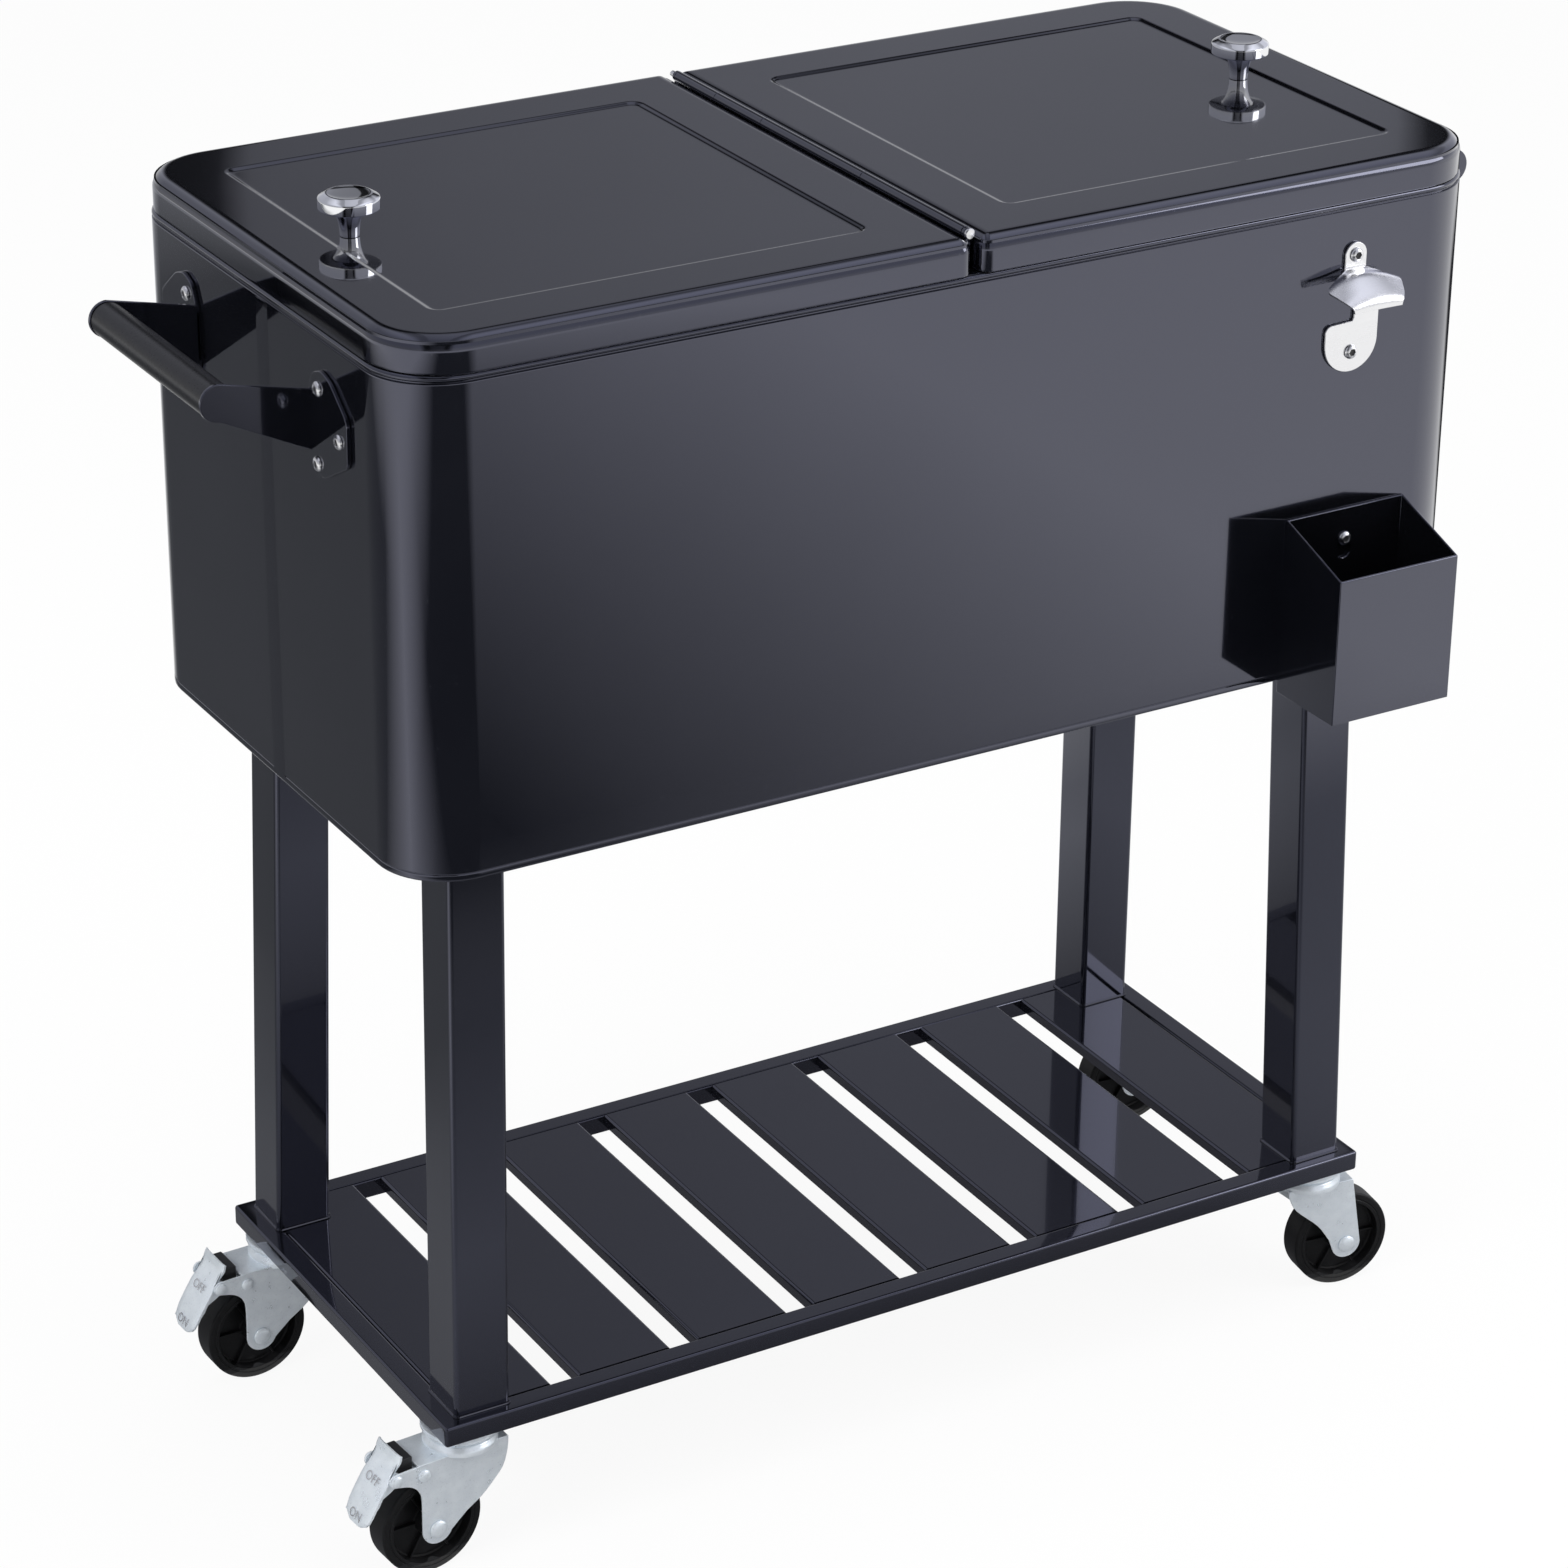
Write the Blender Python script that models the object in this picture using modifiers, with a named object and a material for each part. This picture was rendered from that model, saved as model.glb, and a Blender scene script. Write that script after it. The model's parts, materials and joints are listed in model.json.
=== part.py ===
"""Rolling patio cooler: an insulated steel chest on four legs, over a slatted shelf on casters.

Units are metres. +X runs along the chest, to the right for someone who faces the bottle opener,
-Y is the front and +Z is up. The floor is at Z = 0, and the origin is under the middle of the
whole cooler's footprint. Every piece is its own object. Moving pieces hang from an empty that
lies on their joint's axis.
"""

import math

import bmesh
import bpy
from mathutils import Matrix, Vector

# Clearances and counts
GAP = 0.0003
MERGE = 0.00001
OVERRUN = 0.004
CORNER_STEPS = 5
SMALL_CORNER_STEPS = 3
ROUND_STEPS = 20
FINE_ROUND_STEPS = 24
FLAT_ANGLE = 0.5
SHARP_ANGLE = 30.0
QUARTER_TURN = 90.0
HALF_TURN = 180.0
FULL_TURN = 360.0

# Chest: a steel skin around foam and a plastic liner
TUB_LENGTH = 0.750
TUB_DEPTH = 0.369
TUB_BOTTOM = 0.5015
TUB_HEIGHT = 0.307
TUB_CORNER = 0.045
SKIN = 0.0012
WALL = 0.024
FLOOR_WALL = 0.028
LINER_SHEET = 0.002
LINER_FLANGE = 0.0013
LINER_FLANGE_INSET = 0.004
RIM_HEIGHT = 0.0028
BAR_WIDTH = 0.044
BAR_DROP = 0.012
BAR_END_BAND = 0.0025

# Hinge between the lids
ROD_ABOVE_TUB = 0.0270
ROD_RADIUS = 0.002
KNUCKLE_RADIUS = 0.0034
KNUCKLE_BORE = 0.0023
ROD_FRONT_INSET = 0.0085
ROD_BACK_INSET = 0.0055
ROD_HEAD_LENGTH = 0.0022
LUG_THICKNESS = 0.003
LUG_INSET = 0.011
LUG_WEB = 0.0036
FIRST_SEAM = -0.057
SECOND_SEAM = 0.062
THIRD_SEAM = 0.120
LEAF_SHEET = 0.0012
LEAF_DROP = 0.0200
LEAF_TOP_DROP = 0.0040

# Lids
LID_SPLIT = 0.0054
LID_OVERHANG = 0.001
LID_HEIGHT = 0.0222
LID_END_INSET = 0.001
LID_CORNER = 0.047
LID_INNER_CORNER = 0.008
LID_EDGE = 0.006
LID_EDGE_STEPS = 3
LID_SHEET = 0.0012
RECESS_INNER = 0.0467
RECESS_END_MARGIN = 0.0421
RECESS_SIDE_MARGIN = 0.0447
RECESS_SINK = 0.0015
RECESS_SLOPE = 0.003
LID_PANEL = 0.0025
LID_PANEL_LIFT = 0.0006

# Knobs, turned and chromed
KNOB_INSET = 0.0595
KNOB_HEIGHT = 0.026
KNOB_RADIUS = 0.0184
KNOB_PROFILE_SHARES = (
    (0.0, 1.0), (0.92, 1.0), (1.0, 0.965), (1.0, 0.74), (0.96, 0.71),
    (0.50, 0.66), (0.37, 0.45), (0.34, 0.30), (0.34, 0.0), (0.0, 0.0),
)

# End handles: two bent brackets and a grip tube at each end
HANDLE_OFFSET = 0.005
HANDLE_SPAN = 0.159
HANDLE_DROP = 0.031
HANDLE_REACH = 0.0587
HANDLE_SHEET = 0.0025
GRIP_RADIUS = 0.0108
GRIP_LOBE = 0.0115
ARM_LOW_DROP = 0.040
ARM_HIGH_DROP = 0.002
FLANGE_WIDTH = 0.050
FLANGE_LOW_DROP = 0.0517
FLANGE_HEIGHT = 0.066
FLANGE_SHARES = (
    (0.0, 0.18), (0.06, 0.09), (0.34, 0.0), (0.99, 0.27), (1.0, 0.69),
    (0.57, 0.95), (0.34, 1.0), (0.12, 0.94), (0.0, 0.75),
)

# Bottle opener, stamped from one sheet
OPENER_INSET = 0.101
OPENER_DROP = 0.0207
OPENER_SHEET = 0.0018
OPENER_TAB_WIDTH = 0.016
OPENER_SCREW_SPACING = 0.063
OPENER_PLATE_WIDTH = 0.0398
OPENER_NECK = 0.0517
OPENER_LENGTH = 0.0842
OPENER_PLATE_CORNER = 0.005
HOOD_ROOT_DROP = 0.0173
HOOD_DROP = 0.028
HOOD_REACH = 0.0235
HOOD_HALF_WIDTH = 0.030
HOOD_COLUMNS = 6
HOOD_ROW_SHARES = (
    (0.28, 0.05, 0.00, 0.00), (0.55, 0.16, 0.12, 0.10), (1.00, 0.38, 0.34, 0.12),
    (0.86, 0.74, 0.44, 0.10), (0.70, 0.96, 0.52, 0.10), (0.66, 1.00, 0.74, 0.07),
)

# Cap catcher, a sheet box that hangs on one screw
CATCHER_INSET = 0.0962
CATCHER_OVERHANG = 0.0071
CATCHER_WIDTH = 0.0902
CATCHER_DEPTH = 0.0595
CATCHER_FRONT_HEIGHT = 0.0971
CATCHER_BACK_HEIGHT = 0.1176
CATCHER_SHEET = 0.0015
CATCHER_SCREW_DROP = 0.0207
KEYHOLE_RADIUS = 0.0055
KEYHOLE_LIFT = 0.008

# Screws
SCREW_RADIUS = 0.0022
SCREW_HEAD_RADIUS = 0.0046
SCREW_HEAD_HEIGHT = 0.0024
SCREW_HEAD_SHARES = ((0.0, 1.0), (0.45, 0.90), (0.82, 0.58), (1.0, 0.0))

# Drain under the tub
DRAIN_INSET = 0.125
DRAIN_TUBE_RADIUS = 0.014
DRAIN_BORE = 0.010
DRAIN_FLANGE_RADIUS = 0.020
DRAIN_FLANGE_HEIGHT = 0.002
DRAIN_NUT_RADIUS = 0.019
DRAIN_NUT_HEIGHT = 0.005
DRAIN_TUBE_DROP = 0.016
PLUG_HEAD_RADIUS = 0.015
PLUG_HEAD_HEIGHT = 0.006
PLUG_INSERTION = 0.018

# Legs of square tube, which lean in a little as they rise
LEG_WIDTH = 0.038
LEG_SHEET = 0.0015
LEG_CORNER = 0.003
LEG_INSET_X = 0.038
LEG_INSET_Y = 0.0365
LEG_SET_IN_X = 0.0083
LEG_SET_IN_Y = 0.0098

# Shelf: a frame of square tube with bent slats
SHELF_TOP = 0.1125
SHELF_MARGIN_X = 0.011
SHELF_MARGIN_Y = 0.008
SHELF_TUBE = 0.015
SHELF_RISE = 0.014
SHELF_TUBE_SHEET = 0.0015
SHELF_VENT_RADIUS = 0.003
SLAT_COUNT = 8
SLAT_SLOT = 0.0195
SLAT_SHEET = 0.0012
SLAT_FLANGE = 0.008
SLAT_BEND = 0.002

# Casters
CASTER_INSET_X = 0.012
CASTER_INSET_Y = 0.019
WHEEL_RADIUS = 0.0354
TREAD_HALF = 0.0093
WHEEL_RING = 0.0277
WHEEL_WEB = 0.002
TREAD_SHOULDER_SHARE = 0.92
HUB_RADIUS = 0.009
HUB_HALF = 0.0135
AXLE_RADIUS = 0.004
AXLE_HEAD_RADIUS = 0.0057
AXLE_HEAD_HEIGHT = 0.0024
AXLE_CROWN_SHARE = 0.7
CASTER_TRAIL = 0.0265
FORK_HALF = 0.0163
FORK_SHEET = 0.0015
FORK_TOP = 0.086
FORK_LEAD = 0.0255
FORK_PLAIN_LEAD = 0.0206
FORK_BACK = 0.0394
FORK_PLAIN_BACK = 0.0290
FORK_LOBE = 0.0108
RACE_TOP = 0.0930
RACE_RADIUS = 0.024
MOUNT_RADIUS = 0.025
KINGPIN_RADIUS = 0.005
KINGPIN_HEAD_RADIUS = 0.008
KINGPIN_HEAD_HEIGHT = 0.003
PIVOT_U = 0.0549
PIVOT_Z = 0.0803
EAR_RADIUS = 0.0048
FORK_LEAD_SHARES = ((0.0, 0.10), (0.03, 0.25), (0.10, 0.42), (0.24, 0.56), (0.47, 0.74), (0.75, 0.89))
FORK_PLAIN_LEAD_SHARES = ((0.0, 0.08), (0.18, 0.32), (0.66, 0.63), (0.93, 0.90))
FORK_ARCH_SHARES = ((0.0, 0.61), (0.12, 0.79), (0.32, 0.89), (0.58, 0.95))

# Brake pedals on the left-hand casters
PEDAL_SHEET = 0.0014
PEDAL_HALF = 0.0143
PEDAL_FLANGE_HALF = 0.0130
PEDAL_HEIGHT = 0.051
PEDAL_REACH = 0.027
PEDAL_TIP_SHARES = (
    (-0.13, 0.31), (-0.02, 0.17), (0.29, -0.07), (0.56, -0.30), (0.76, -0.50), (0.83, -0.60),
)
PEDAL_EAR = 0.0044
SHOE_LENGTH = 0.0105
SHOE_HALF = 0.0115
SHOE_HEIGHT = 0.008

# How each caster stands: side along X, side along Y, swivel in degrees, and whether it has a brake
CASTERS = {
    "front_left": (-1, -1, -3.6, True),
    "back_left": (-1, 1, -1.8, True),
    "front_right": (1, -1, 7.9, False),
    "back_right": (1, 1, 4.0, False),
}

# Sizes and places that follow from the ones above
TUB_TOP = TUB_BOTTOM + TUB_HEIGHT
FLANGE_BASE = TUB_TOP + GAP
FLANGE_TOP = FLANGE_BASE + LINER_FLANGE
RIM_BASE = FLANGE_TOP + GAP
RIM_TOP = RIM_BASE + RIM_HEIGHT
LID_BASE = RIM_TOP + GAP
LID_TOP = LID_BASE + LID_HEIGHT
ROD_Z = TUB_TOP + ROD_ABOVE_TUB
LINER_FLOOR = TUB_BOTTOM + FLOOR_WALL
ROD_FRONT = TUB_DEPTH / 2 - ROD_FRONT_INSET
ROD_BACK = TUB_DEPTH / 2 - ROD_BACK_INSET
LUG_PLACE = TUB_DEPTH / 2 - LUG_INSET - LUG_THICKNESS
LID_END = TUB_LENGTH / 2 - LID_END_INSET
LID_DEPTH = TUB_DEPTH + 2 * LID_OVERHANG
RECESS_OUTER = LID_END - RECESS_END_MARGIN
RECESS_SIDE = LID_DEPTH / 2 - RECESS_SIDE_MARGIN
KNOB_PLACE = LID_END - KNOB_INSET
HANDLE_HEIGHT = TUB_TOP - HANDLE_DROP
OPENER_X = TUB_LENGTH / 2 - OPENER_INSET
OPENER_TOP = TUB_TOP - OPENER_DROP
OPENER_PLATE_TOP = OPENER_TOP - OPENER_NECK
OPENER_BOTTOM = OPENER_TOP - OPENER_LENGTH
OPENER_UPPER_SCREW = OPENER_TOP - OPENER_TAB_WIDTH / 2
OPENER_LOWER_SCREW = OPENER_UPPER_SCREW - OPENER_SCREW_SPACING
HOOD_ROOT = OPENER_TOP - HOOD_ROOT_DROP
CATCHER_X = TUB_LENGTH / 2 - CATCHER_INSET
CATCHER_BOTTOM = TUB_BOTTOM - CATCHER_OVERHANG
CATCHER_SCREW_HEIGHT = CATCHER_BACK_HEIGHT - CATCHER_SCREW_DROP
DRAIN_X = DRAIN_INSET - TUB_LENGTH / 2
LEG_FOOT_X = TUB_LENGTH / 2 - LEG_INSET_X
LEG_FOOT_Y = TUB_DEPTH / 2 - LEG_INSET_Y
SHELF_LENGTH = 2 * (LEG_FOOT_X + SHELF_MARGIN_X)
SHELF_DEPTH = 2 * (LEG_FOOT_Y + SHELF_MARGIN_Y)
SHELF_BOTTOM = SHELF_TOP - SHELF_RISE
CASTER_X = LEG_FOOT_X - CASTER_INSET_X
CASTER_Y = LEG_FOOT_Y - CASTER_INSET_Y
SLAT_BED = SHELF_LENGTH - 2 * (SHELF_TUBE + GAP)
SLAT_WIDTH = (SLAT_BED - (SLAT_COUNT - 1) * SLAT_SLOT) / SLAT_COUNT
OPENING_Y = TUB_DEPTH / 2 - WALL
FRONT_FACE = -TUB_DEPTH / 2
CATCHER_FRONT = FRONT_FACE - GAP - CATCHER_DEPTH
FOOTPRINT_SHIFT = -(CATCHER_FRONT + LID_DEPTH / 2) / 2

# How an outline drawn in two coordinates stands in space
FACING = {
    "Z": Matrix(((1, 0, 0, 0), (0, 1, 0, 0), (0, 0, 1, 0), (0, 0, 0, 1))),
    "Y": Matrix(((1, 0, 0, 0), (0, 0, -1, 0), (0, 1, 0, 0), (0, 0, 0, 1))),
    "X": Matrix(((0, 0, 1, 0), (1, 0, 0, 0), (0, 1, 0, 0), (0, 0, 0, 1))),
}


def clear_scene():
    """Remove every object, so that the script can be run again."""
    for item in list(bpy.data.objects):
        bpy.data.objects.remove(item)


def new_collection(name):
    """A collection of this name, linked to the scene."""
    group = bpy.data.collections.new(name)
    bpy.context.scene.collection.children.link(group)
    return group


def new_material(name, colour, roughness, metallic):
    """A Principled material of one colour."""
    made = bpy.data.materials.new(name)
    made.use_nodes = True
    surface = made.node_tree.nodes["Principled BSDF"]
    surface.inputs["Base Color"].default_value = (*colour, 1.0)
    surface.inputs["Roughness"].default_value = roughness
    surface.inputs["Metallic"].default_value = metallic
    return made


def empty(name, location, parent=None, turn=0.0):
    """A named frame of reference, turned by an angle in degrees about Z."""
    frame = bpy.data.objects.new(name, None)
    PARTS.objects.link(frame)
    frame.location = location
    frame.rotation_euler = (0, 0, math.radians(turn))
    frame.parent = parent
    return frame


def arc(centre, radius, start, end, steps):
    """Points along an arc between two angles in degrees, both ends included."""
    points = []
    for step in range(steps + 1):
        angle = math.radians(start + (end - start) * step / steps)
        points.append((centre[0] + radius * math.cos(angle), centre[1] + radius * math.sin(angle)))
    return points


def circle(centre, radius, steps=ROUND_STEPS):
    """A closed round outline."""
    return arc(centre, radius, 0, FULL_TURN, steps)[:-1]


def rectangle(low_a, high_a, low_b, high_b):
    """A closed outline with square corners."""
    return [(low_a, low_b), (high_a, low_b), (high_a, high_b), (low_a, high_b)]


def rounded(low_a, high_a, low_b, high_b, high_radius, low_radius=None, steps=CORNER_STEPS):
    """A closed rectangle whose corners at high a and at low a each have their own radius."""
    low_radius = high_radius if low_radius is None else low_radius
    corners = (
        ((high_a - high_radius, high_b - high_radius), high_radius),
        ((low_a + low_radius, high_b - low_radius), low_radius),
        ((low_a + low_radius, low_b + low_radius), low_radius),
        ((high_a - high_radius, low_b + high_radius), high_radius),
    )
    points = []
    for index, (centre, radius) in enumerate(corners):
        start = index * QUARTER_TURN
        points += arc(centre, radius, start, start + QUARTER_TURN, steps)
    return points


def tub_outline(inset):
    """The chest's plan outline, moved in from its skin by a distance."""
    half_x = TUB_LENGTH / 2 - inset
    half_y = TUB_DEPTH / 2 - inset
    return rounded(-half_x, half_x, -half_y, half_y, TUB_CORNER - inset)


def mesh_object(name, mesh):
    """An object for a mesh, in the collection of parts."""
    made = bpy.data.objects.new(name, mesh)
    PARTS.objects.link(made)
    return made


def tidy(mesh, flatten=False):
    """Weld a mesh's points, join the faces of each flat end if asked, and turn faces outward."""
    work = bmesh.new()
    work.from_mesh(mesh)
    bmesh.ops.remove_doubles(work, verts=work.verts, dist=MERGE)
    if flatten:
        bmesh.ops.dissolve_limit(work, angle_limit=math.radians(FLAT_ANGLE), verts=work.verts,
                                 edges=work.edges)
    bmesh.ops.recalc_face_normals(work, faces=work.faces)
    work.to_mesh(mesh)
    work.free()


def solid(name, loops, low, high, facing="Z"):
    """A flat outline, with any holes as further loops, given thickness from low to high."""
    flat = bpy.data.curves.new(name, "CURVE")
    flat.dimensions = "2D"
    flat.fill_mode = "BOTH"
    flat.extrude = (high - low) / 2
    for loop in loops:
        spline = flat.splines.new("POLY")
        spline.points.add(len(loop) - 1)
        for point, (a, b) in zip(spline.points, loop):
            point.co = (a, b, 0, 1)
        spline.use_cyclic_u = True
    holder = bpy.data.objects.new(name, flat)
    PARTS.objects.link(holder)
    seen = holder.evaluated_get(bpy.context.evaluated_depsgraph_get())
    mesh = bpy.data.meshes.new_from_object(seen)
    bpy.data.objects.remove(holder)
    bpy.data.curves.remove(flat)
    middle = (low + high) / 2
    mesh.transform(Matrix.Translation((0, 0, -middle if facing == "Y" else middle)))
    mesh.transform(FACING[facing])
    tidy(mesh, flatten=len(loops) == 1)
    return mesh_object(name, mesh)


def turned(name, profile, closed=False, steps=ROUND_STEPS):
    """A profile of radius and height, spun about Z; a closed profile leaves a bore."""
    mesh = bpy.data.meshes.new(name)
    points = [(radius, 0, height) for radius, height in profile]
    edges = [(index, index + 1) for index in range(len(points) - 1)]
    if closed:
        edges.append((len(points) - 1, 0))
    mesh.from_pydata(points, edges, [])
    made = mesh_object(name, mesh)
    spin = made.modifiers.new("spin", "SCREW")
    spin.steps = steps
    spin.render_steps = steps
    spin.use_merge_vertices = True
    spin.merge_threshold = MERGE
    return made


def tapered(name, low_box, high_box, low, high):
    """A block whose plan is one rectangle at its bottom and another at its top."""
    mesh = bpy.data.meshes.new(name)
    work = bmesh.new()
    bmesh.ops.create_cube(work, size=1)
    for vertex in work.verts:
        low_x, high_x, low_y, high_y = high_box if vertex.co.z > 0 else low_box
        vertex.co.x = high_x if vertex.co.x > 0 else low_x
        vertex.co.y = high_y if vertex.co.y > 0 else low_y
        vertex.co.z = high if vertex.co.z > 0 else low
    work.to_mesh(mesh)
    work.free()
    tidy(mesh)
    return mesh_object(name, mesh)


def block(name, low_x, high_x, low_y, high_y, low_z, high_z):
    """A plain box between six planes."""
    plan = (low_x, high_x, low_y, high_y)
    return tapered(name, plan, plan, low_z, high_z)


def combine(target, tool, operation):
    """Cut the target with a tool, or join the tool to it, and put the tool away."""
    step = target.modifiers.new(tool.name, "BOOLEAN")
    step.operation = operation
    step.solver = "EXACT"
    step.object = tool
    for group in list(tool.users_collection):
        group.objects.unlink(tool)
    CUTTERS.objects.link(tool)
    tool.parent = target
    tool.hide_render = True
    tool.display_type = "WIRE"


def cut(target, tool):
    """Take the tool's shape away from the target."""
    combine(target, tool, "DIFFERENCE")


def join(target, tool):
    """Weld the tool's shape to the target."""
    combine(target, tool, "UNION")


def place(item, parent, material, location=(0, 0, 0), turn=(0, 0, 0)):
    """Give a piece its parent, its place in the parent's frame and its material."""
    item.parent = parent
    item.location = location
    item.rotation_euler = turn
    item.data.materials.append(material)
    if item.data.polygons:
        item.data.shade_smooth()
        item.data.set_sharp_from_angle(angle=math.radians(SHARP_ANGLE))
    return item


def make_tub(cooler):
    """The chest's skin, foam, liner and rim, each open at the top and cut for the drain."""
    shell = solid("tub_shell", [tub_outline(0)], TUB_BOTTOM, TUB_TOP)
    hollow = [tub_outline(SKIN)]
    cut(shell, solid("shell_hollow", hollow, TUB_BOTTOM + SKIN, TUB_TOP + OVERRUN))
    place(shell, cooler, BLACK_PAINT)

    liner_outside = WALL - LINER_SHEET
    foam_inset = SKIN + GAP
    foam_base = TUB_BOTTOM + SKIN + GAP
    liner_base = LINER_FLOOR - LINER_SHEET
    foam = solid("tub_foam", [tub_outline(foam_inset)], foam_base, TUB_TOP)
    pocket = [tub_outline(liner_outside - GAP)]
    cut(foam, solid("foam_pocket", pocket, liner_base - GAP, TUB_TOP + OVERRUN))
    place(foam, cooler, FOAM)

    liner = solid("tub_liner", [tub_outline(liner_outside)], liner_base, FLANGE_TOP)
    flange = [tub_outline(LINER_FLANGE_INSET), tub_outline(liner_outside + LINER_SHEET / 2)]
    join(liner, solid("liner_flange", flange, FLANGE_BASE, FLANGE_TOP))
    cut(liner, solid("liner_hollow", [tub_outline(WALL)], LINER_FLOOR, TUB_TOP + OVERRUN))
    place(liner, cooler, LINER_PLASTIC)

    rim = solid("tub_rim", [tub_outline(0), tub_outline(WALL)], RIM_BASE, RIM_TOP)
    skirt = [tub_outline(0), tub_outline(LINER_FLANGE_INSET - GAP)]
    join(rim, solid("rim_skirt", skirt, FLANGE_BASE, RIM_TOP - RIM_HEIGHT / 2))
    notch_x = BAR_WIDTH / 2 + GAP
    notch_y = TUB_DEPTH / 2 - BAR_END_BAND + GAP
    notch = block("rim_notch", -notch_x, notch_x, -notch_y, notch_y,
                  RIM_BASE - OVERRUN, RIM_TOP + OVERRUN)
    cut(rim, notch)
    place(rim, cooler, BLACK_PLASTIC)

    for piece in (shell, foam, liner):
        hole = solid(piece.name + "_drain_hole", [circle((DRAIN_X, 0), DRAIN_TUBE_RADIUS + GAP)],
                     TUB_BOTTOM - OVERRUN, LINER_FLOOR + OVERRUN)
        cut(piece, hole)


def make_drain(cooler):
    """A flanged spout through the floor, and the stopper that pulls out of it downwards."""
    flange_top = LINER_FLOOR + GAP + DRAIN_FLANGE_HEIGHT
    flange_base = LINER_FLOOR + GAP
    nut_top = TUB_BOTTOM - GAP
    nut_base = nut_top - DRAIN_NUT_HEIGHT
    spout_end = TUB_BOTTOM - DRAIN_TUBE_DROP
    spout = turned("drain_spout", [
        (DRAIN_FLANGE_RADIUS, flange_top), (DRAIN_FLANGE_RADIUS, flange_base),
        (DRAIN_TUBE_RADIUS, flange_base), (DRAIN_TUBE_RADIUS, nut_top),
        (DRAIN_NUT_RADIUS, nut_top), (DRAIN_NUT_RADIUS, nut_base),
        (DRAIN_TUBE_RADIUS, nut_base), (DRAIN_TUBE_RADIUS, spout_end),
        (DRAIN_BORE, spout_end), (DRAIN_BORE, flange_top),
    ], closed=True)
    place(spout, cooler, LINER_PLASTIC, (DRAIN_X, 0, 0))

    slide = empty("drain_plug_slide", (DRAIN_X, 0, spout_end), cooler)
    plug = turned("drain_plug", [
        (0, PLUG_INSERTION), (DRAIN_BORE - GAP, PLUG_INSERTION), (DRAIN_BORE - GAP, -GAP),
        (PLUG_HEAD_RADIUS, -GAP), (PLUG_HEAD_RADIUS, -GAP - PLUG_HEAD_HEIGHT),
        (0, -GAP - PLUG_HEAD_HEIGHT),
    ])
    place(plug, slide, BLACK_PLASTIC)


def make_hinge_seat(cooler):
    """The bar across the opening, with its two lugs, and the rod that the lids turn on."""
    half_x = BAR_WIDTH / 2
    half_y = TUB_DEPTH / 2 - BAR_END_BAND
    bar = block("centre_bar", -half_x, half_x, -half_y, half_y, RIM_BASE, RIM_TOP)
    inner_y = OPENING_Y - GAP
    keel_base = RIM_BASE - BAR_DROP
    join(bar, block("bar_keel", -half_x, half_x, -inner_y, inner_y, keel_base, RIM_TOP))
    web = LUG_WEB / 2
    lug_outline = [(-web, RIM_TOP - RIM_HEIGHT / 2), (web, RIM_TOP - RIM_HEIGHT / 2)]
    lean = math.degrees(math.asin(web / KNUCKLE_RADIUS))
    lug_outline += arc((0, ROD_Z), KNUCKLE_RADIUS, lean - QUARTER_TURN,
                       FULL_TURN - QUARTER_TURN - lean, ROUND_STEPS // 2)
    bore = circle((0, ROD_Z), ROD_RADIUS + GAP, ROUND_STEPS // 2)
    for side in (-1, 1):
        near = side * LUG_PLACE
        far = side * (LUG_PLACE + LUG_THICKNESS)
        join(bar, solid(f"bar_lug_{side}", [lug_outline, bore], min(near, far), max(near, far), "Y"))
    place(bar, cooler, BLACK_PAINT)

    rod = turned("hinge_rod", [
        (0, ROD_FRONT), (KNUCKLE_RADIUS, ROD_FRONT), (KNUCKLE_RADIUS, ROD_FRONT - ROD_HEAD_LENGTH),
        (ROD_RADIUS, ROD_FRONT - ROD_HEAD_LENGTH), (ROD_RADIUS, -ROD_BACK), (0, -ROD_BACK),
    ], steps=ROUND_STEPS // 2)
    place(rod, cooler, STEEL, (0, 0, ROD_Z), (math.radians(QUARTER_TURN), 0, 0))


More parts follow.
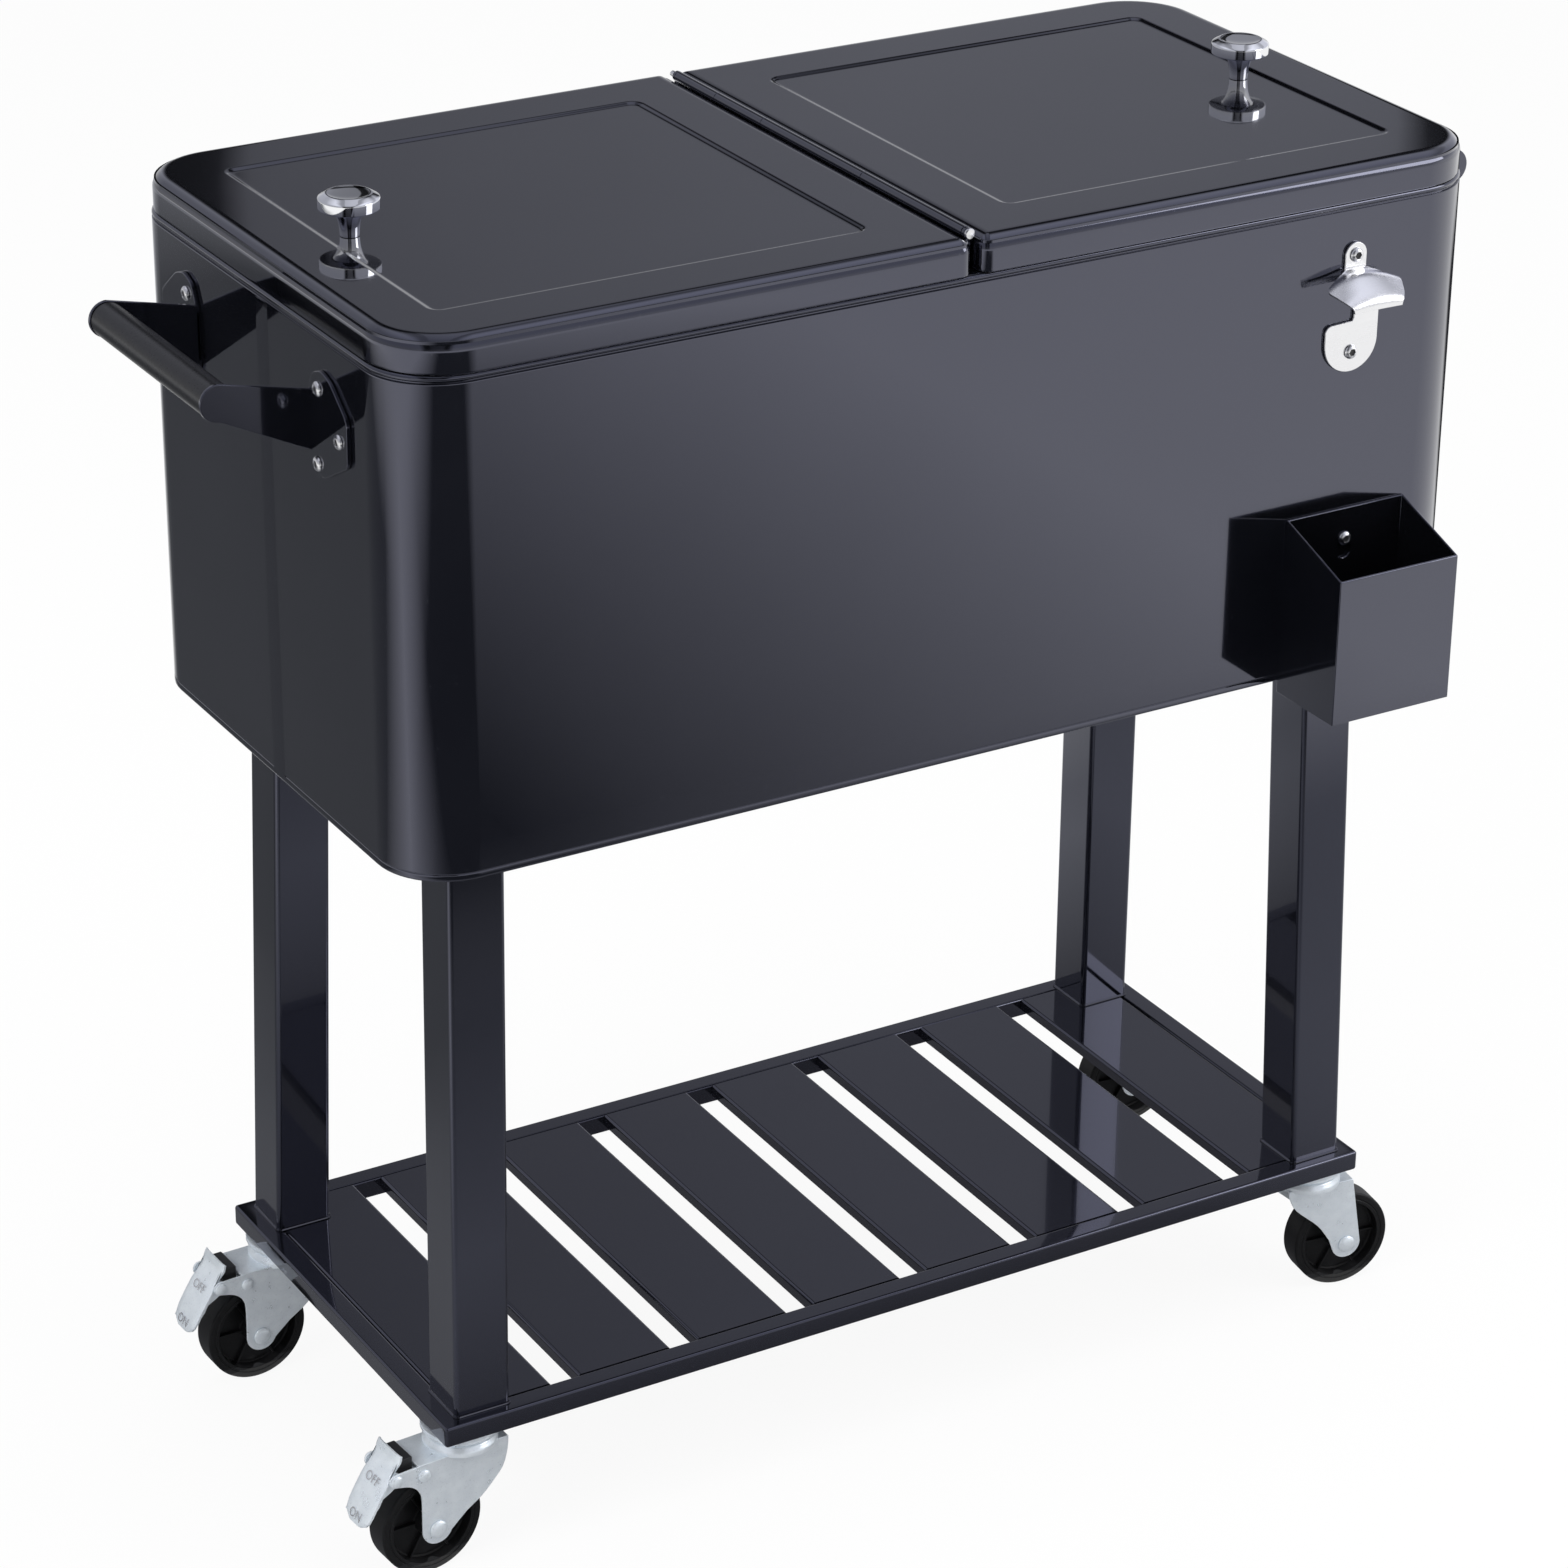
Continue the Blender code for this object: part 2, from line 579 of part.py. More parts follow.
def make_lid(cooler, name, side):
    """One lid with its foam, inner panel, knob and hinge leaf, all turning on the rod."""
    hinge = empty(name + "_hinge", (0, 0, ROD_Z), cooler)
    inner = LID_SPLIT / 2
    outer = LID_END
    half_y = LID_DEPTH / 2
    base = LID_BASE - ROD_Z
    top = LID_TOP - ROD_Z

    def lid_outline(inset):
        plan = rounded(inner + inset, outer - inset, inset - half_y, half_y - inset,
                       LID_CORNER - inset, LID_INNER_CORNER - inset)
        return [(side * x, y) for x, y in plan]

    cover = solid(name + "_cover", [lid_outline(0)], base, top)
    weights = cover.data.attributes.new("bevel_weight_edge", "FLOAT", "EDGE")
    for edge in cover.data.edges:
        ends = [cover.data.vertices[index].co for index in edge.vertices]
        on_top = all(end.z > top - GAP for end in ends)
        weights.data[edge.index].value = 1.0 if on_top and is_rim_edge(cover.data, edge) else 0.0
    rounding = cover.modifiers.new("top_edge", "BEVEL")
    rounding.limit_method = "WEIGHT"
    rounding.width = LID_EDGE
    rounding.segments = LID_EDGE_STEPS

    near = RECESS_INNER
    far = RECESS_OUTER
    side_y = RECESS_SIDE
    floor = [near + RECESS_SLOPE, far - RECESS_SLOPE]
    floor_y = side_y - RECESS_SLOPE
    flare = RECESS_SLOPE * OVERRUN / RECESS_SINK
    mouth = [near - flare, far + flare]
    low_box = (min(side * x for x in floor), max(side * x for x in floor), -floor_y, floor_y)
    high_box = (min(side * x for x in mouth), max(side * x for x in mouth),
                -side_y - flare, side_y + flare)
    cut(cover, tapered(name + "_recess", low_box, high_box, top - RECESS_SINK, top + OVERRUN))
    roof = top - RECESS_SINK - LID_SHEET
    cut(cover, solid(name + "_hollow", [lid_outline(LID_SHEET)], base - OVERRUN, roof))
    place(cover, hinge, BLACK_PAINT)

    fit = LID_SHEET + GAP
    panel_base = base + LID_PANEL_LIFT
    panel_top = panel_base + LID_PANEL
    panel = solid(name + "_panel", [lid_outline(fit)], panel_base, panel_top)
    place(panel, hinge, LINER_PLASTIC)
    filling = solid(name + "_foam", [lid_outline(fit)], panel_top + GAP, roof - GAP)
    place(filling, hinge, FOAM)

    knob = turned(name + "_knob", [(KNOB_RADIUS * a, KNOB_HEIGHT * b) for a, b in KNOB_PROFILE_SHARES],
                  steps=FINE_ROUND_STEPS)
    place(knob, hinge, CHROME, (side * KNOB_PLACE, 0, top - RECESS_SINK + GAP))

    make_leaf(hinge, name, side)


def is_rim_edge(mesh, edge):
    """Whether an edge lies between a flat cap and an upright wall of the mesh."""
    key = set(edge.vertices)
    normals = [face.normal for face in mesh.polygons if key <= set(face.vertices)]
    return len(normals) == 2 and abs(normals[0].z) + abs(normals[1].z) < 1 + GAP


def make_leaf(hinge, name, side):
    """A hinge leaf: a strip on the lid's inner wall that carries two knuckles on the rod."""
    outside = side * (LID_SPLIT / 2 - GAP)
    inside = outside - side * LEAF_SHEET
    low_x, high_x = min(outside, inside), max(outside, inside)
    reach = LUG_PLACE - GAP
    leaf = block(name + "_hinge_leaf", low_x, high_x, -reach, reach, -LEAF_DROP, -LEAF_TOP_DROP)
    half_gap = GAP / 2
    right_spans = ((-reach, FIRST_SEAM - half_gap), (SECOND_SEAM + half_gap, THIRD_SEAM - half_gap))
    left_spans = ((FIRST_SEAM + half_gap, SECOND_SEAM - half_gap), (THIRD_SEAM + half_gap, reach))
    for index, (start, end) in enumerate(right_spans if side > 0 else left_spans):
        neck = block(f"{name}_neck_{index}", low_x, high_x, start, end,
                     -LEAF_TOP_DROP - LEAF_SHEET, -KNUCKLE_BORE)
        join(leaf, neck)
        rings = [circle((0, 0), KNUCKLE_RADIUS, ROUND_STEPS // 2),
                 circle((0, 0), KNUCKLE_BORE, ROUND_STEPS // 2)]
        join(leaf, solid(f"{name}_knuckle_{index}", rings, start, end, "Y"))
    place(leaf, hinge, BLACK_PAINT)


def make_handle(cooler, name, turn):
    """An end handle, drawn at the left end and turned to its own end."""
    frame = empty(name + "_frame", (0, HANDLE_OFFSET, 0), cooler, turn)
    wall = -TUB_LENGTH / 2 - GAP
    grip_x = wall - HANDLE_REACH
    half_span = HANDLE_SPAN / 2
    lobe = arc((grip_x, HANDLE_HEIGHT), GRIP_LOBE, QUARTER_TURN, FULL_TURN - QUARTER_TURN,
               ROUND_STEPS // 3)
    arm = [(wall, HANDLE_HEIGHT - ARM_LOW_DROP), (wall, HANDLE_HEIGHT - ARM_HIGH_DROP)] + lobe
    flange_low = HANDLE_HEIGHT - FLANGE_LOW_DROP
    words = ("back", "front") if turn else ("front", "back")
    for end, word in zip((-1, 1), words):
        outside = end * half_span
        inside = outside - end * HANDLE_SHEET
        bracket = solid(f"{name}_{word}_bracket", [arm], min(outside, inside), max(outside, inside), "Y")
        flange = [(inside + end * a * FLANGE_WIDTH, flange_low + b * FLANGE_HEIGHT)
                  for a, b in FLANGE_SHARES]
        join(bracket, solid(f"{name}_{word}_flange", [flange], wall - HANDLE_SHEET, wall, "X"))
        place(bracket, frame, BLACK_PAINT)
    grip_half = half_span - HANDLE_SHEET - GAP
    grip = turned(name + "_grip", [(0, grip_half), (GRIP_RADIUS, grip_half),
                                   (GRIP_RADIUS, -grip_half), (0, -grip_half)])
    place(grip, frame, BLACK_PAINT, (grip_x, 0, HANDLE_HEIGHT), (math.radians(QUARTER_TURN), 0, 0))


def make_screw(cooler, name, x, face, z):
    """A dome-headed screw in the front face; face is how far off the skin its head sits."""
    head = [(SCREW_HEAD_RADIUS * a, face + SCREW_HEAD_HEIGHT * b) for a, b in SCREW_HEAD_SHARES]
    shank = [(SCREW_RADIUS, face), (SCREW_RADIUS, GAP), (0, GAP)]
    screw = turned(name, head + shank, steps=ROUND_STEPS // 2)
    place(screw, cooler, STEEL, (x, FRONT_FACE, z), (math.radians(QUARTER_TURN), 0, 0))


def make_opener(cooler):
    """The wall opener: a screwed plate with a hood that hooks over a bottle's cap."""
    half_tab = OPENER_TAB_WIDTH / 2
    half_plate = OPENER_PLATE_WIDTH / 2
    corner = OPENER_PLATE_CORNER
    low_arc = arc((0, OPENER_BOTTOM + half_plate), half_plate, HALF_TURN, FULL_TURN, CORNER_STEPS * 2)
    right_corner = arc((half_plate - corner, OPENER_PLATE_TOP - corner), corner, 0, QUARTER_TURN,
                       SMALL_CORNER_STEPS)
    top_arc = arc((0, OPENER_TOP - half_tab), half_tab, 0, HALF_TURN, CORNER_STEPS)
    left_corner = arc((corner - half_plate, OPENER_PLATE_TOP - corner), corner, QUARTER_TURN,
                      HALF_TURN, SMALL_CORNER_STEPS)
    neck = [(half_tab, OPENER_PLATE_TOP)]
    back_neck = [(-half_tab, OPENER_PLATE_TOP)]
    outline = low_arc + right_corner + neck + top_arc + back_neck + left_corner
    holes = [circle((0, height), SCREW_RADIUS + GAP, ROUND_STEPS // 2)
             for height in (OPENER_UPPER_SCREW, OPENER_LOWER_SCREW)]
    plate_face = FRONT_FACE - GAP
    opener = solid("bottle_opener", [outline] + holes, plate_face - OPENER_SHEET, plate_face, "Y")

    grid = []
    for half, reach, drop, bow in HOOD_ROW_SHARES:
        for column in range(HOOD_COLUMNS + 1):
            across = 2 * column / HOOD_COLUMNS - 1
            rise = bow * HOOD_DROP * (1 - across * across)
            grid.append((HOOD_HALF_WIDTH * half * across,
                         plate_face - OPENER_SHEET / 2 - HOOD_REACH * reach,
                         HOOD_ROOT - HOOD_DROP * drop + rise))
    width = HOOD_COLUMNS + 1
    faces = [(row * width + column, row * width + column + 1,
              (row + 1) * width + column + 1, (row + 1) * width + column)
             for row in range(len(HOOD_ROW_SHARES) - 1) for column in range(HOOD_COLUMNS)]
    mesh = bpy.data.meshes.new("opener_hood")
    mesh.from_pydata(grid, [], faces)
    hood = mesh_object("opener_hood", mesh)
    sheet = hood.modifiers.new("sheet", "SOLIDIFY")
    sheet.thickness = OPENER_SHEET
    sheet.offset = 0
    join(opener, hood)
    place(opener, cooler, STEEL, (OPENER_X, 0, 0))

    seat = GAP + OPENER_SHEET + GAP
    make_screw(cooler, "opener_upper_screw", OPENER_X, seat, OPENER_UPPER_SCREW)
    make_screw(cooler, "opener_lower_screw", OPENER_X, seat, OPENER_LOWER_SCREW)


def make_catcher(cooler):
    """The box for caps; its back wall has a keyhole, so that it lifts off its screw."""
    frame = empty("cap_catcher_lift", (CATCHER_X, 0, CATCHER_BOTTOM), cooler)
    back = FRONT_FACE - GAP
    front = back - CATCHER_DEPTH
    half_x = CATCHER_WIDTH / 2
    sheet = CATCHER_SHEET
    slope = (CATCHER_BACK_HEIGHT - CATCHER_FRONT_HEIGHT) / CATCHER_DEPTH
    side = [(front, 0), (back, 0), (back, CATCHER_BACK_HEIGHT), (front, CATCHER_FRONT_HEIGHT)]
    catcher = solid("cap_catcher", [side], -half_x, half_x, "X")
    room = [(front + sheet, sheet), (back - sheet, sheet),
            (back - sheet, CATCHER_BACK_HEIGHT + OVERRUN),
            (front + sheet, CATCHER_BACK_HEIGHT + OVERRUN)]
    cut(catcher, solid("catcher_room", [room], sheet - half_x, half_x - sheet, "X"))
    slot = SCREW_RADIUS + GAP
    spread = math.degrees(math.asin(slot / KEYHOLE_RADIUS))
    keyhole = arc((0, CATCHER_SCREW_HEIGHT - KEYHOLE_LIFT), KEYHOLE_RADIUS, QUARTER_TURN + spread,
                  FULL_TURN + QUARTER_TURN - spread, ROUND_STEPS // 2)
    keyhole += arc((0, CATCHER_SCREW_HEIGHT), slot, 0, HALF_TURN, CORNER_STEPS)
    cut(catcher, solid("catcher_keyhole", [keyhole], back - sheet - OVERRUN, back + OVERRUN, "Y"))
    place(catcher, frame, BLACK_PAINT)
    make_screw(cooler, "catcher_screw", CATCHER_X, GAP + sheet + GAP,
               CATCHER_BOTTOM + CATCHER_SCREW_HEIGHT)


def make_legs(cooler):
    """Four square tubes from the shelf to the tub, each leaning in both ways."""
    length = TUB_BOTTOM - SHELF_TOP - GAP - GAP
    half = LEG_WIDTH / 2
    inner = half - LEG_SHEET
    tube = [rounded(-half, half, -half, half, LEG_CORNER, steps=SMALL_CORNER_STEPS),
            rounded(-inner, inner, -inner, inner, LEG_CORNER - LEG_SHEET, steps=SMALL_CORNER_STEPS)]
    for name, (side_x, side_y, _, _) in CASTERS.items():
        leg = solid(name + "_leg", tube, 0, length)
        lean = Matrix.Identity(4)
        lean[0][2] = -side_x * LEG_SET_IN_X / length
        lean[1][2] = -side_y * LEG_SET_IN_Y / length
        leg.data.transform(lean)
        foot = (side_x * (LEG_FOOT_X - half), side_y * (LEG_FOOT_Y - half), SHELF_TOP + GAP)
        place(leg, cooler, BLACK_PAINT, foot)


def make_shelf(cooler):
    """The frame, hollow with small vents below, and the slats between its long sides."""
    half_x = SHELF_LENGTH / 2
    half_y = SHELF_DEPTH / 2

    def frame_loop(inset):
        return rectangle(inset - half_x, half_x - inset, inset - half_y, half_y - inset)

    frame = solid("shelf_frame", [frame_loop(0), frame_loop(SHELF_TUBE)], SHELF_BOTTOM, SHELF_TOP)
    sheet = SHELF_TUBE_SHEET
    core = solid("frame_core", [frame_loop(sheet), frame_loop(SHELF_TUBE - sheet)],
                 SHELF_BOTTOM + sheet, SHELF_TOP - sheet)
    cut(frame, core)
    for side in (-1, 1):
        centre = (0, side * (half_y - SHELF_TUBE / 2))
        cut(frame, solid(f"frame_vent_{side}", [circle(centre, SHELF_VENT_RADIUS, ROUND_STEPS // 2)],
                         SHELF_BOTTOM - OVERRUN, SHELF_BOTTOM + sheet + OVERRUN))
    place(frame, cooler, BLACK_PAINT)

    half_width = SLAT_WIDTH / 2
    half_length = half_y - SHELF_TUBE - GAP
    inner = half_width - SLAT_SHEET
    bend = SLAT_BEND
    inner_bend = SLAT_BEND - SLAT_SHEET
    top = SHELF_TOP
    bottom = SHELF_TOP - SLAT_FLANGE
    section = [(half_width, bottom)]
    section += arc((half_width - bend, top - bend), bend, 0, QUARTER_TURN, SMALL_CORNER_STEPS)
    section += arc((bend - half_width, top - bend), bend, QUARTER_TURN, HALF_TURN, SMALL_CORNER_STEPS)
    section += [(-half_width, bottom), (-inner, bottom)]
    section += arc((inner_bend - inner, top - bend), inner_bend, HALF_TURN, QUARTER_TURN,
                   SMALL_CORNER_STEPS)
    section += arc((inner - inner_bend, top - bend), inner_bend, QUARTER_TURN, 0, SMALL_CORNER_STEPS)
    section += [(inner, bottom)]
    pitch = SLAT_WIDTH + SLAT_SLOT
    for number in range(SLAT_COUNT):
        slat = solid(f"shelf_slat_{number + 1}", [section], -half_length, half_length, "Y")
        offset = (number - (SLAT_COUNT - 1) / 2) * pitch
        place(slat, cooler, BLACK_PAINT, (offset, 0, 0))


def fork_ends(braked):
    """Where a fork's crown starts and ends along u."""
    if braked:
        return -FORK_LEAD, FORK_BACK
    return -FORK_PLAIN_LEAD, FORK_PLAIN_BACK


def fork_outline(braked):
    """A fork's side plate, seen along the axle: u runs to the trailing side, z is up."""
    front, back = fork_ends(braked)
    axle = (CASTER_TRAIL, WHEEL_RADIUS)
    fall = FORK_TOP - WHEEL_RADIUS
    lead = [(front, FORK_TOP)]
    run = CASTER_TRAIL - FORK_LOBE - front
    for along, down in FORK_LEAD_SHARES if braked else FORK_PLAIN_LEAD_SHARES:
        lead.append((front + run * along, FORK_TOP - fall * down))
    points = lead + arc(axle, FORK_LOBE, HALF_TURN + QUARTER_TURN / 4, FULL_TURN, CORNER_STEPS + 3)
    if braked:
        arm_edge = CASTER_TRAIL + FORK_LOBE
        ear_bottom = PIVOT_Z - EAR_RADIUS
        arch_rise = ear_bottom - WHEEL_RADIUS
        arch_run = PIVOT_U - arm_edge
        for along, up in FORK_ARCH_SHARES:
            points.append((arm_edge + arch_run * along, WHEEL_RADIUS + arch_rise * up))
        points += arc((PIVOT_U, PIVOT_Z), EAR_RADIUS, -QUARTER_TURN, QUARTER_TURN, CORNER_STEPS)
    points.append((back, FORK_TOP))
    return points


def make_fork(name, swivel, braked):
    """The fork: two side plates under a crown that carries the ball race."""
    front, back = fork_ends(braked)
    axle_hole = circle((CASTER_TRAIL, WHEEL_RADIUS), AXLE_RADIUS + GAP, ROUND_STEPS // 2)
    kingpin_hole = circle((0, 0), KINGPIN_RADIUS + GAP, ROUND_STEPS // 2)
    half = FORK_HALF
    crown = rectangle(front, back, -half, half)
    fork = solid(name + "_fork", [crown, kingpin_hole], FORK_TOP - FORK_SHEET, FORK_TOP)
    for side in (-1, 1):
        outside = side * half
        inside = side * (half - FORK_SHEET)
        join(fork, solid(f"{name}_cheek_{side}", [fork_outline(braked), axle_hole],
                         min(outside, inside), max(outside, inside), "Y"))
    race = [circle((0, 0), RACE_RADIUS), kingpin_hole]
    join(fork, solid(name + "_race", race, FORK_TOP - FORK_SHEET / 2, RACE_TOP))
    place(fork, swivel, ZINC)


def make_wheel(name, swivel):
    """The wheel and its riveted axle, on an empty at the axle's middle."""
    spin = empty(name + "_axle_line", (CASTER_TRAIL, 0, WHEEL_RADIUS), swivel)
    shoulder = TREAD_HALF * TREAD_SHOULDER_SHARE
    bore = AXLE_RADIUS + GAP
    profile = [
        (HUB_RADIUS, HUB_HALF), (HUB_RADIUS, WHEEL_WEB), (WHEEL_RING, WHEEL_WEB),
        (WHEEL_RING, TREAD_HALF), (WHEEL_RADIUS - (TREAD_HALF - shoulder), TREAD_HALF),
        (WHEEL_RADIUS, shoulder), (WHEEL_RADIUS, -shoulder),
        (WHEEL_RADIUS - (TREAD_HALF - shoulder), -TREAD_HALF), (WHEEL_RING, -TREAD_HALF),
        (WHEEL_RING, -WHEEL_WEB), (HUB_RADIUS, -WHEEL_WEB), (HUB_RADIUS, -HUB_HALF),
        (bore, -HUB_HALF), (bore, HUB_HALF),
    ]
    wheel = turned(name + "_wheel", profile, closed=True, steps=FINE_ROUND_STEPS)
    upright = (math.radians(QUARTER_TURN), 0, 0)
    place(wheel, spin, RUBBER, (0, 0, 0), upright)

    seat = FORK_HALF + GAP
    head = AXLE_HEAD_HEIGHT
    crown = AXLE_HEAD_RADIUS * AXLE_CROWN_SHARE
    axle = turned(name + "_axle", [
        (0, seat + head), (crown, seat + head), (AXLE_HEAD_RADIUS, seat + head / 2),
        (AXLE_HEAD_RADIUS, seat), (AXLE_RADIUS, seat), (AXLE_RADIUS, -seat),
        (AXLE_HEAD_RADIUS, -seat), (AXLE_HEAD_RADIUS, -seat - head / 2),
        (crown, -seat - head), (0, -seat - head),
    ], steps=ROUND_STEPS // 2)
    place(axle, spin, ZINC, (0, 0, 0), upright)


def make_mount(name, corner):
    """The disc under the shelf's corner, with the kingpin that holds the fork."""
    crown_base = FORK_TOP - FORK_SHEET - GAP
    mount = turned(name + "_caster_mount", [
        (0, SHELF_BOTTOM - GAP), (MOUNT_RADIUS, SHELF_BOTTOM - GAP), (MOUNT_RADIUS, RACE_TOP + GAP),
        (KINGPIN_RADIUS, RACE_TOP + GAP), (KINGPIN_RADIUS, crown_base),
        (KINGPIN_HEAD_RADIUS, crown_base), (KINGPIN_HEAD_RADIUS, crown_base - KINGPIN_HEAD_HEIGHT),
        (0, crown_base - KINGPIN_HEAD_HEIGHT),
    ])
    place(mount, corner, ZINC)


def ribbon(points, thickness):
    """A line of points given a thickness on its right-hand side."""
    shifted = []
    for index, point in enumerate(points):
        before = Vector(points[max(index - 1, 0)])
        after = Vector(points[min(index + 1, len(points) - 1)])
        along = (after - before).normalized()
        shifted.append((point[0] + along.y * thickness, point[1] - along.x * thickness))
    return points + shifted[::-1]


def make_pedal(name, swivel):
    """The brake pedal: a bent face with two cheeks on the pivot, and the shoe behind it."""
    pivot = empty(name + "_pedal_pivot", (PIVOT_U, 0, PIVOT_Z), swivel)
    face_line = [(PEDAL_REACH * a, PEDAL_HEIGHT * b) for a, b in PEDAL_TIP_SHARES]
    pedal = solid(name + "_brake_pedal", [ribbon(face_line, PEDAL_SHEET)], -PEDAL_HALF, PEDAL_HALF, "Y")
    inner_line = face_line[1:-1]
    cheek = [(a - PEDAL_SHEET / 2, b) for a, b in inner_line]
    cheek += arc((0, 0), PEDAL_EAR, -QUARTER_TURN, -HALF_TURN, SMALL_CORNER_STEPS)
    for side in (-1, 1):
        outside = side * PEDAL_FLANGE_HALF
        inside = side * (PEDAL_FLANGE_HALF - PEDAL_SHEET)
        join(pedal, solid(f"{name}_pedal_cheek_{side}", [cheek], min(outside, inside),
                          max(outside, inside), "Y"))
    shoe_top = PEDAL_EAR + SHOE_HEIGHT / 4
    join(pedal, block(name + "_shoe", -SHOE_LENGTH, PEDAL_SHEET, -SHOE_HALF - PEDAL_SHEET,
                      SHOE_HALF + PEDAL_SHEET, shoe_top - SHOE_HEIGHT, shoe_top))
    place(pedal, pivot, ZINC)


def make_casters(cooler):
    """Four swivel casters, turned as they stand, with brakes on the left-hand pair."""
    for name, (side_x, side_y, angle, braked) in CASTERS.items():
        spot = (side_x * CASTER_X, side_y * CASTER_Y, 0)
        make_mount(name, empty(name + "_corner", spot, cooler))
        turn = -angle if side_x > 0 else HALF_TURN - angle
        swivel = empty(name + "_swivel", spot, cooler, turn)
        make_fork(name, swivel, braked)
        make_wheel(name, swivel)
        if braked:
            make_pedal(name, swivel)


clear_scene()
PARTS = new_collection("rolling_patio_cooler")
CUTTERS = new_collection("cutters")
BLACK_PAINT = new_material("black_paint", (0.012, 0.012, 0.014), 0.12, 0.0)
BLACK_PLASTIC = new_material("black_plastic", (0.015, 0.015, 0.016), 0.45, 0.0)
RUBBER = new_material("wheel_plastic", (0.018, 0.018, 0.020), 0.5, 0.0)
LINER_PLASTIC = new_material("liner_plastic", (0.78, 0.79, 0.80), 0.4, 0.0)
FOAM = new_material("foam", (0.75, 0.68, 0.45), 0.9, 0.0)
CHROME = new_material("chrome", (0.80, 0.80, 0.82), 0.08, 1.0)
STEEL = new_material("stainless_steel", (0.66, 0.67, 0.70), 0.25, 1.0)
ZINC = new_material("zinc_plate", (0.62, 0.65, 0.69), 0.35, 1.0)

cooler_frame = empty("cooler", (0, FOOTPRINT_SHIFT, 0))
make_tub(cooler_frame)
make_drain(cooler_frame)
make_hinge_seat(cooler_frame)
make_lid(cooler_frame, "left_lid", -1)
make_lid(cooler_frame, "right_lid", 1)
make_handle(cooler_frame, "left_handle", 0)
make_handle(cooler_frame, "right_handle", HALF_TURN)
make_opener(cooler_frame)
make_catcher(cooler_frame)
make_legs(cooler_frame)
make_shelf(cooler_frame)
make_casters(cooler_frame)
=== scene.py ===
# %% [markdown]
# # A rolling patio cooler
# The cooler is a black painted steel chest on four square legs, with a slatted shelf and swivel
# casters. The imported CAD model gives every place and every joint. This script gives it its looks:
# fine surfaces where the CAD solids are coarse, the small fasteners, and the finishes.

import json
import math

import bmesh
import bpy
import numpy as np
from mathutils import Matrix, Vector


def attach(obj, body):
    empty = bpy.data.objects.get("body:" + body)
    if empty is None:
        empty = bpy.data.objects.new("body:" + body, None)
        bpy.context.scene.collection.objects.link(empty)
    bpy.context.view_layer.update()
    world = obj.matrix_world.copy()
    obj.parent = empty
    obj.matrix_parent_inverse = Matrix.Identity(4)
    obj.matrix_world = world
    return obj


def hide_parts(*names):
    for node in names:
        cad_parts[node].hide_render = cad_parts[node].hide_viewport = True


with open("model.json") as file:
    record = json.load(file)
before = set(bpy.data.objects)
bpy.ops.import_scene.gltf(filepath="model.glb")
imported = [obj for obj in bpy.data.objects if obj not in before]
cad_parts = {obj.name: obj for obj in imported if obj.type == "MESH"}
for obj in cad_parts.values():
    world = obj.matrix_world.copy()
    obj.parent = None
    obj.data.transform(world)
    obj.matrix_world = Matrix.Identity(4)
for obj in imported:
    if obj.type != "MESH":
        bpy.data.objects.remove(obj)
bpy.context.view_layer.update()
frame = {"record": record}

# %% [markdown]
# ## Camera
# The photograph was taken from the front left and from above, with a long lens. A camera fitted to
# the corners of the chest, the shelf and the casters gives its place, its turn and its focal
# length. It turns by its roll about its own line of sight, then tilts, then swings round Z.

# %% The photograph's camera
CAMERA_PLACE = Vector((-1.45544, -2.39244, 1.76584))
CAMERA_YAW, CAMERA_PITCH, CAMERA_ROLL = -0.53568687, 0.44827357, 0.01056051
CAMERA_LENS, SENSOR_WIDTH = 111.083, 36.0


def linked(name, data):
    """A new object in the scene."""
    made = bpy.data.objects.new(name, data)
    bpy.context.scene.collection.objects.link(made)
    return made


camera_data = bpy.data.cameras.new("photo_camera")
camera_data.sensor_width = SENSOR_WIDTH
camera_data.lens = CAMERA_LENS
camera = linked("photo_camera", camera_data)
tilt = Matrix.Rotation(math.pi / 2 - CAMERA_PITCH, 4, "X") @ Matrix.Rotation(CAMERA_ROLL, 4, "Z")
camera.matrix_world = Matrix.Translation(CAMERA_PLACE) @ Matrix.Rotation(CAMERA_YAW, 4, "Z") @ tilt
bpy.context.scene.camera = camera
print("camera at", [round(value, 3) for value in CAMERA_PLACE], "lens", CAMERA_LENS)

# %% [markdown]
# ## Shader maths
# A finish is a small program: noise makes a number, the number is scaled and clipped, and it ends
# in a colour, a roughness or a bump. Wiring this by hand hides what it says. The class below wraps
# one socket, so that an expression such as `0.1 + 0.2 * grain` adds the Math nodes for itself.

# %% Sockets that can be written as expressions
EVEN = (1.0, 1.0, 1.0)


class Signal:
    """One output socket of a shader tree, with the operators of ordinary arithmetic."""

    def __init__(self, tree, socket):
        self.tree = tree
        self.socket = socket

    def math(self, operation, first, second=0.0, clamp=False):
        """A Math node: first and second are numbers or signals."""
        return add_node(self.tree, "ShaderNodeMath", {"operation": operation, "use_clamp": clamp},
                        {0: first, 1: second})

    def __add__(self, other):
        return self.math("ADD", self, other)

    def __sub__(self, other):
        return self.math("SUBTRACT", self, other)

    def __rsub__(self, other):
        return self.math("SUBTRACT", other, self)

    def __mul__(self, other):
        return self.math("MULTIPLY", self, other)

    __radd__ = __add__
    __rmul__ = __mul__

    def clipped(self):
        """The value kept between 0 and 1."""
        return self.math("ADD", self, 0.0, clamp=True)

    def size(self):
        """The value without its sign."""
        return self.math("ABSOLUTE", self)

    def ramp(self, low, high):
        """0 below low, 1 above high and a straight line between: (value - low) / (high - low)."""
        return ((self - low) * (1.0 / (high - low))).clipped()


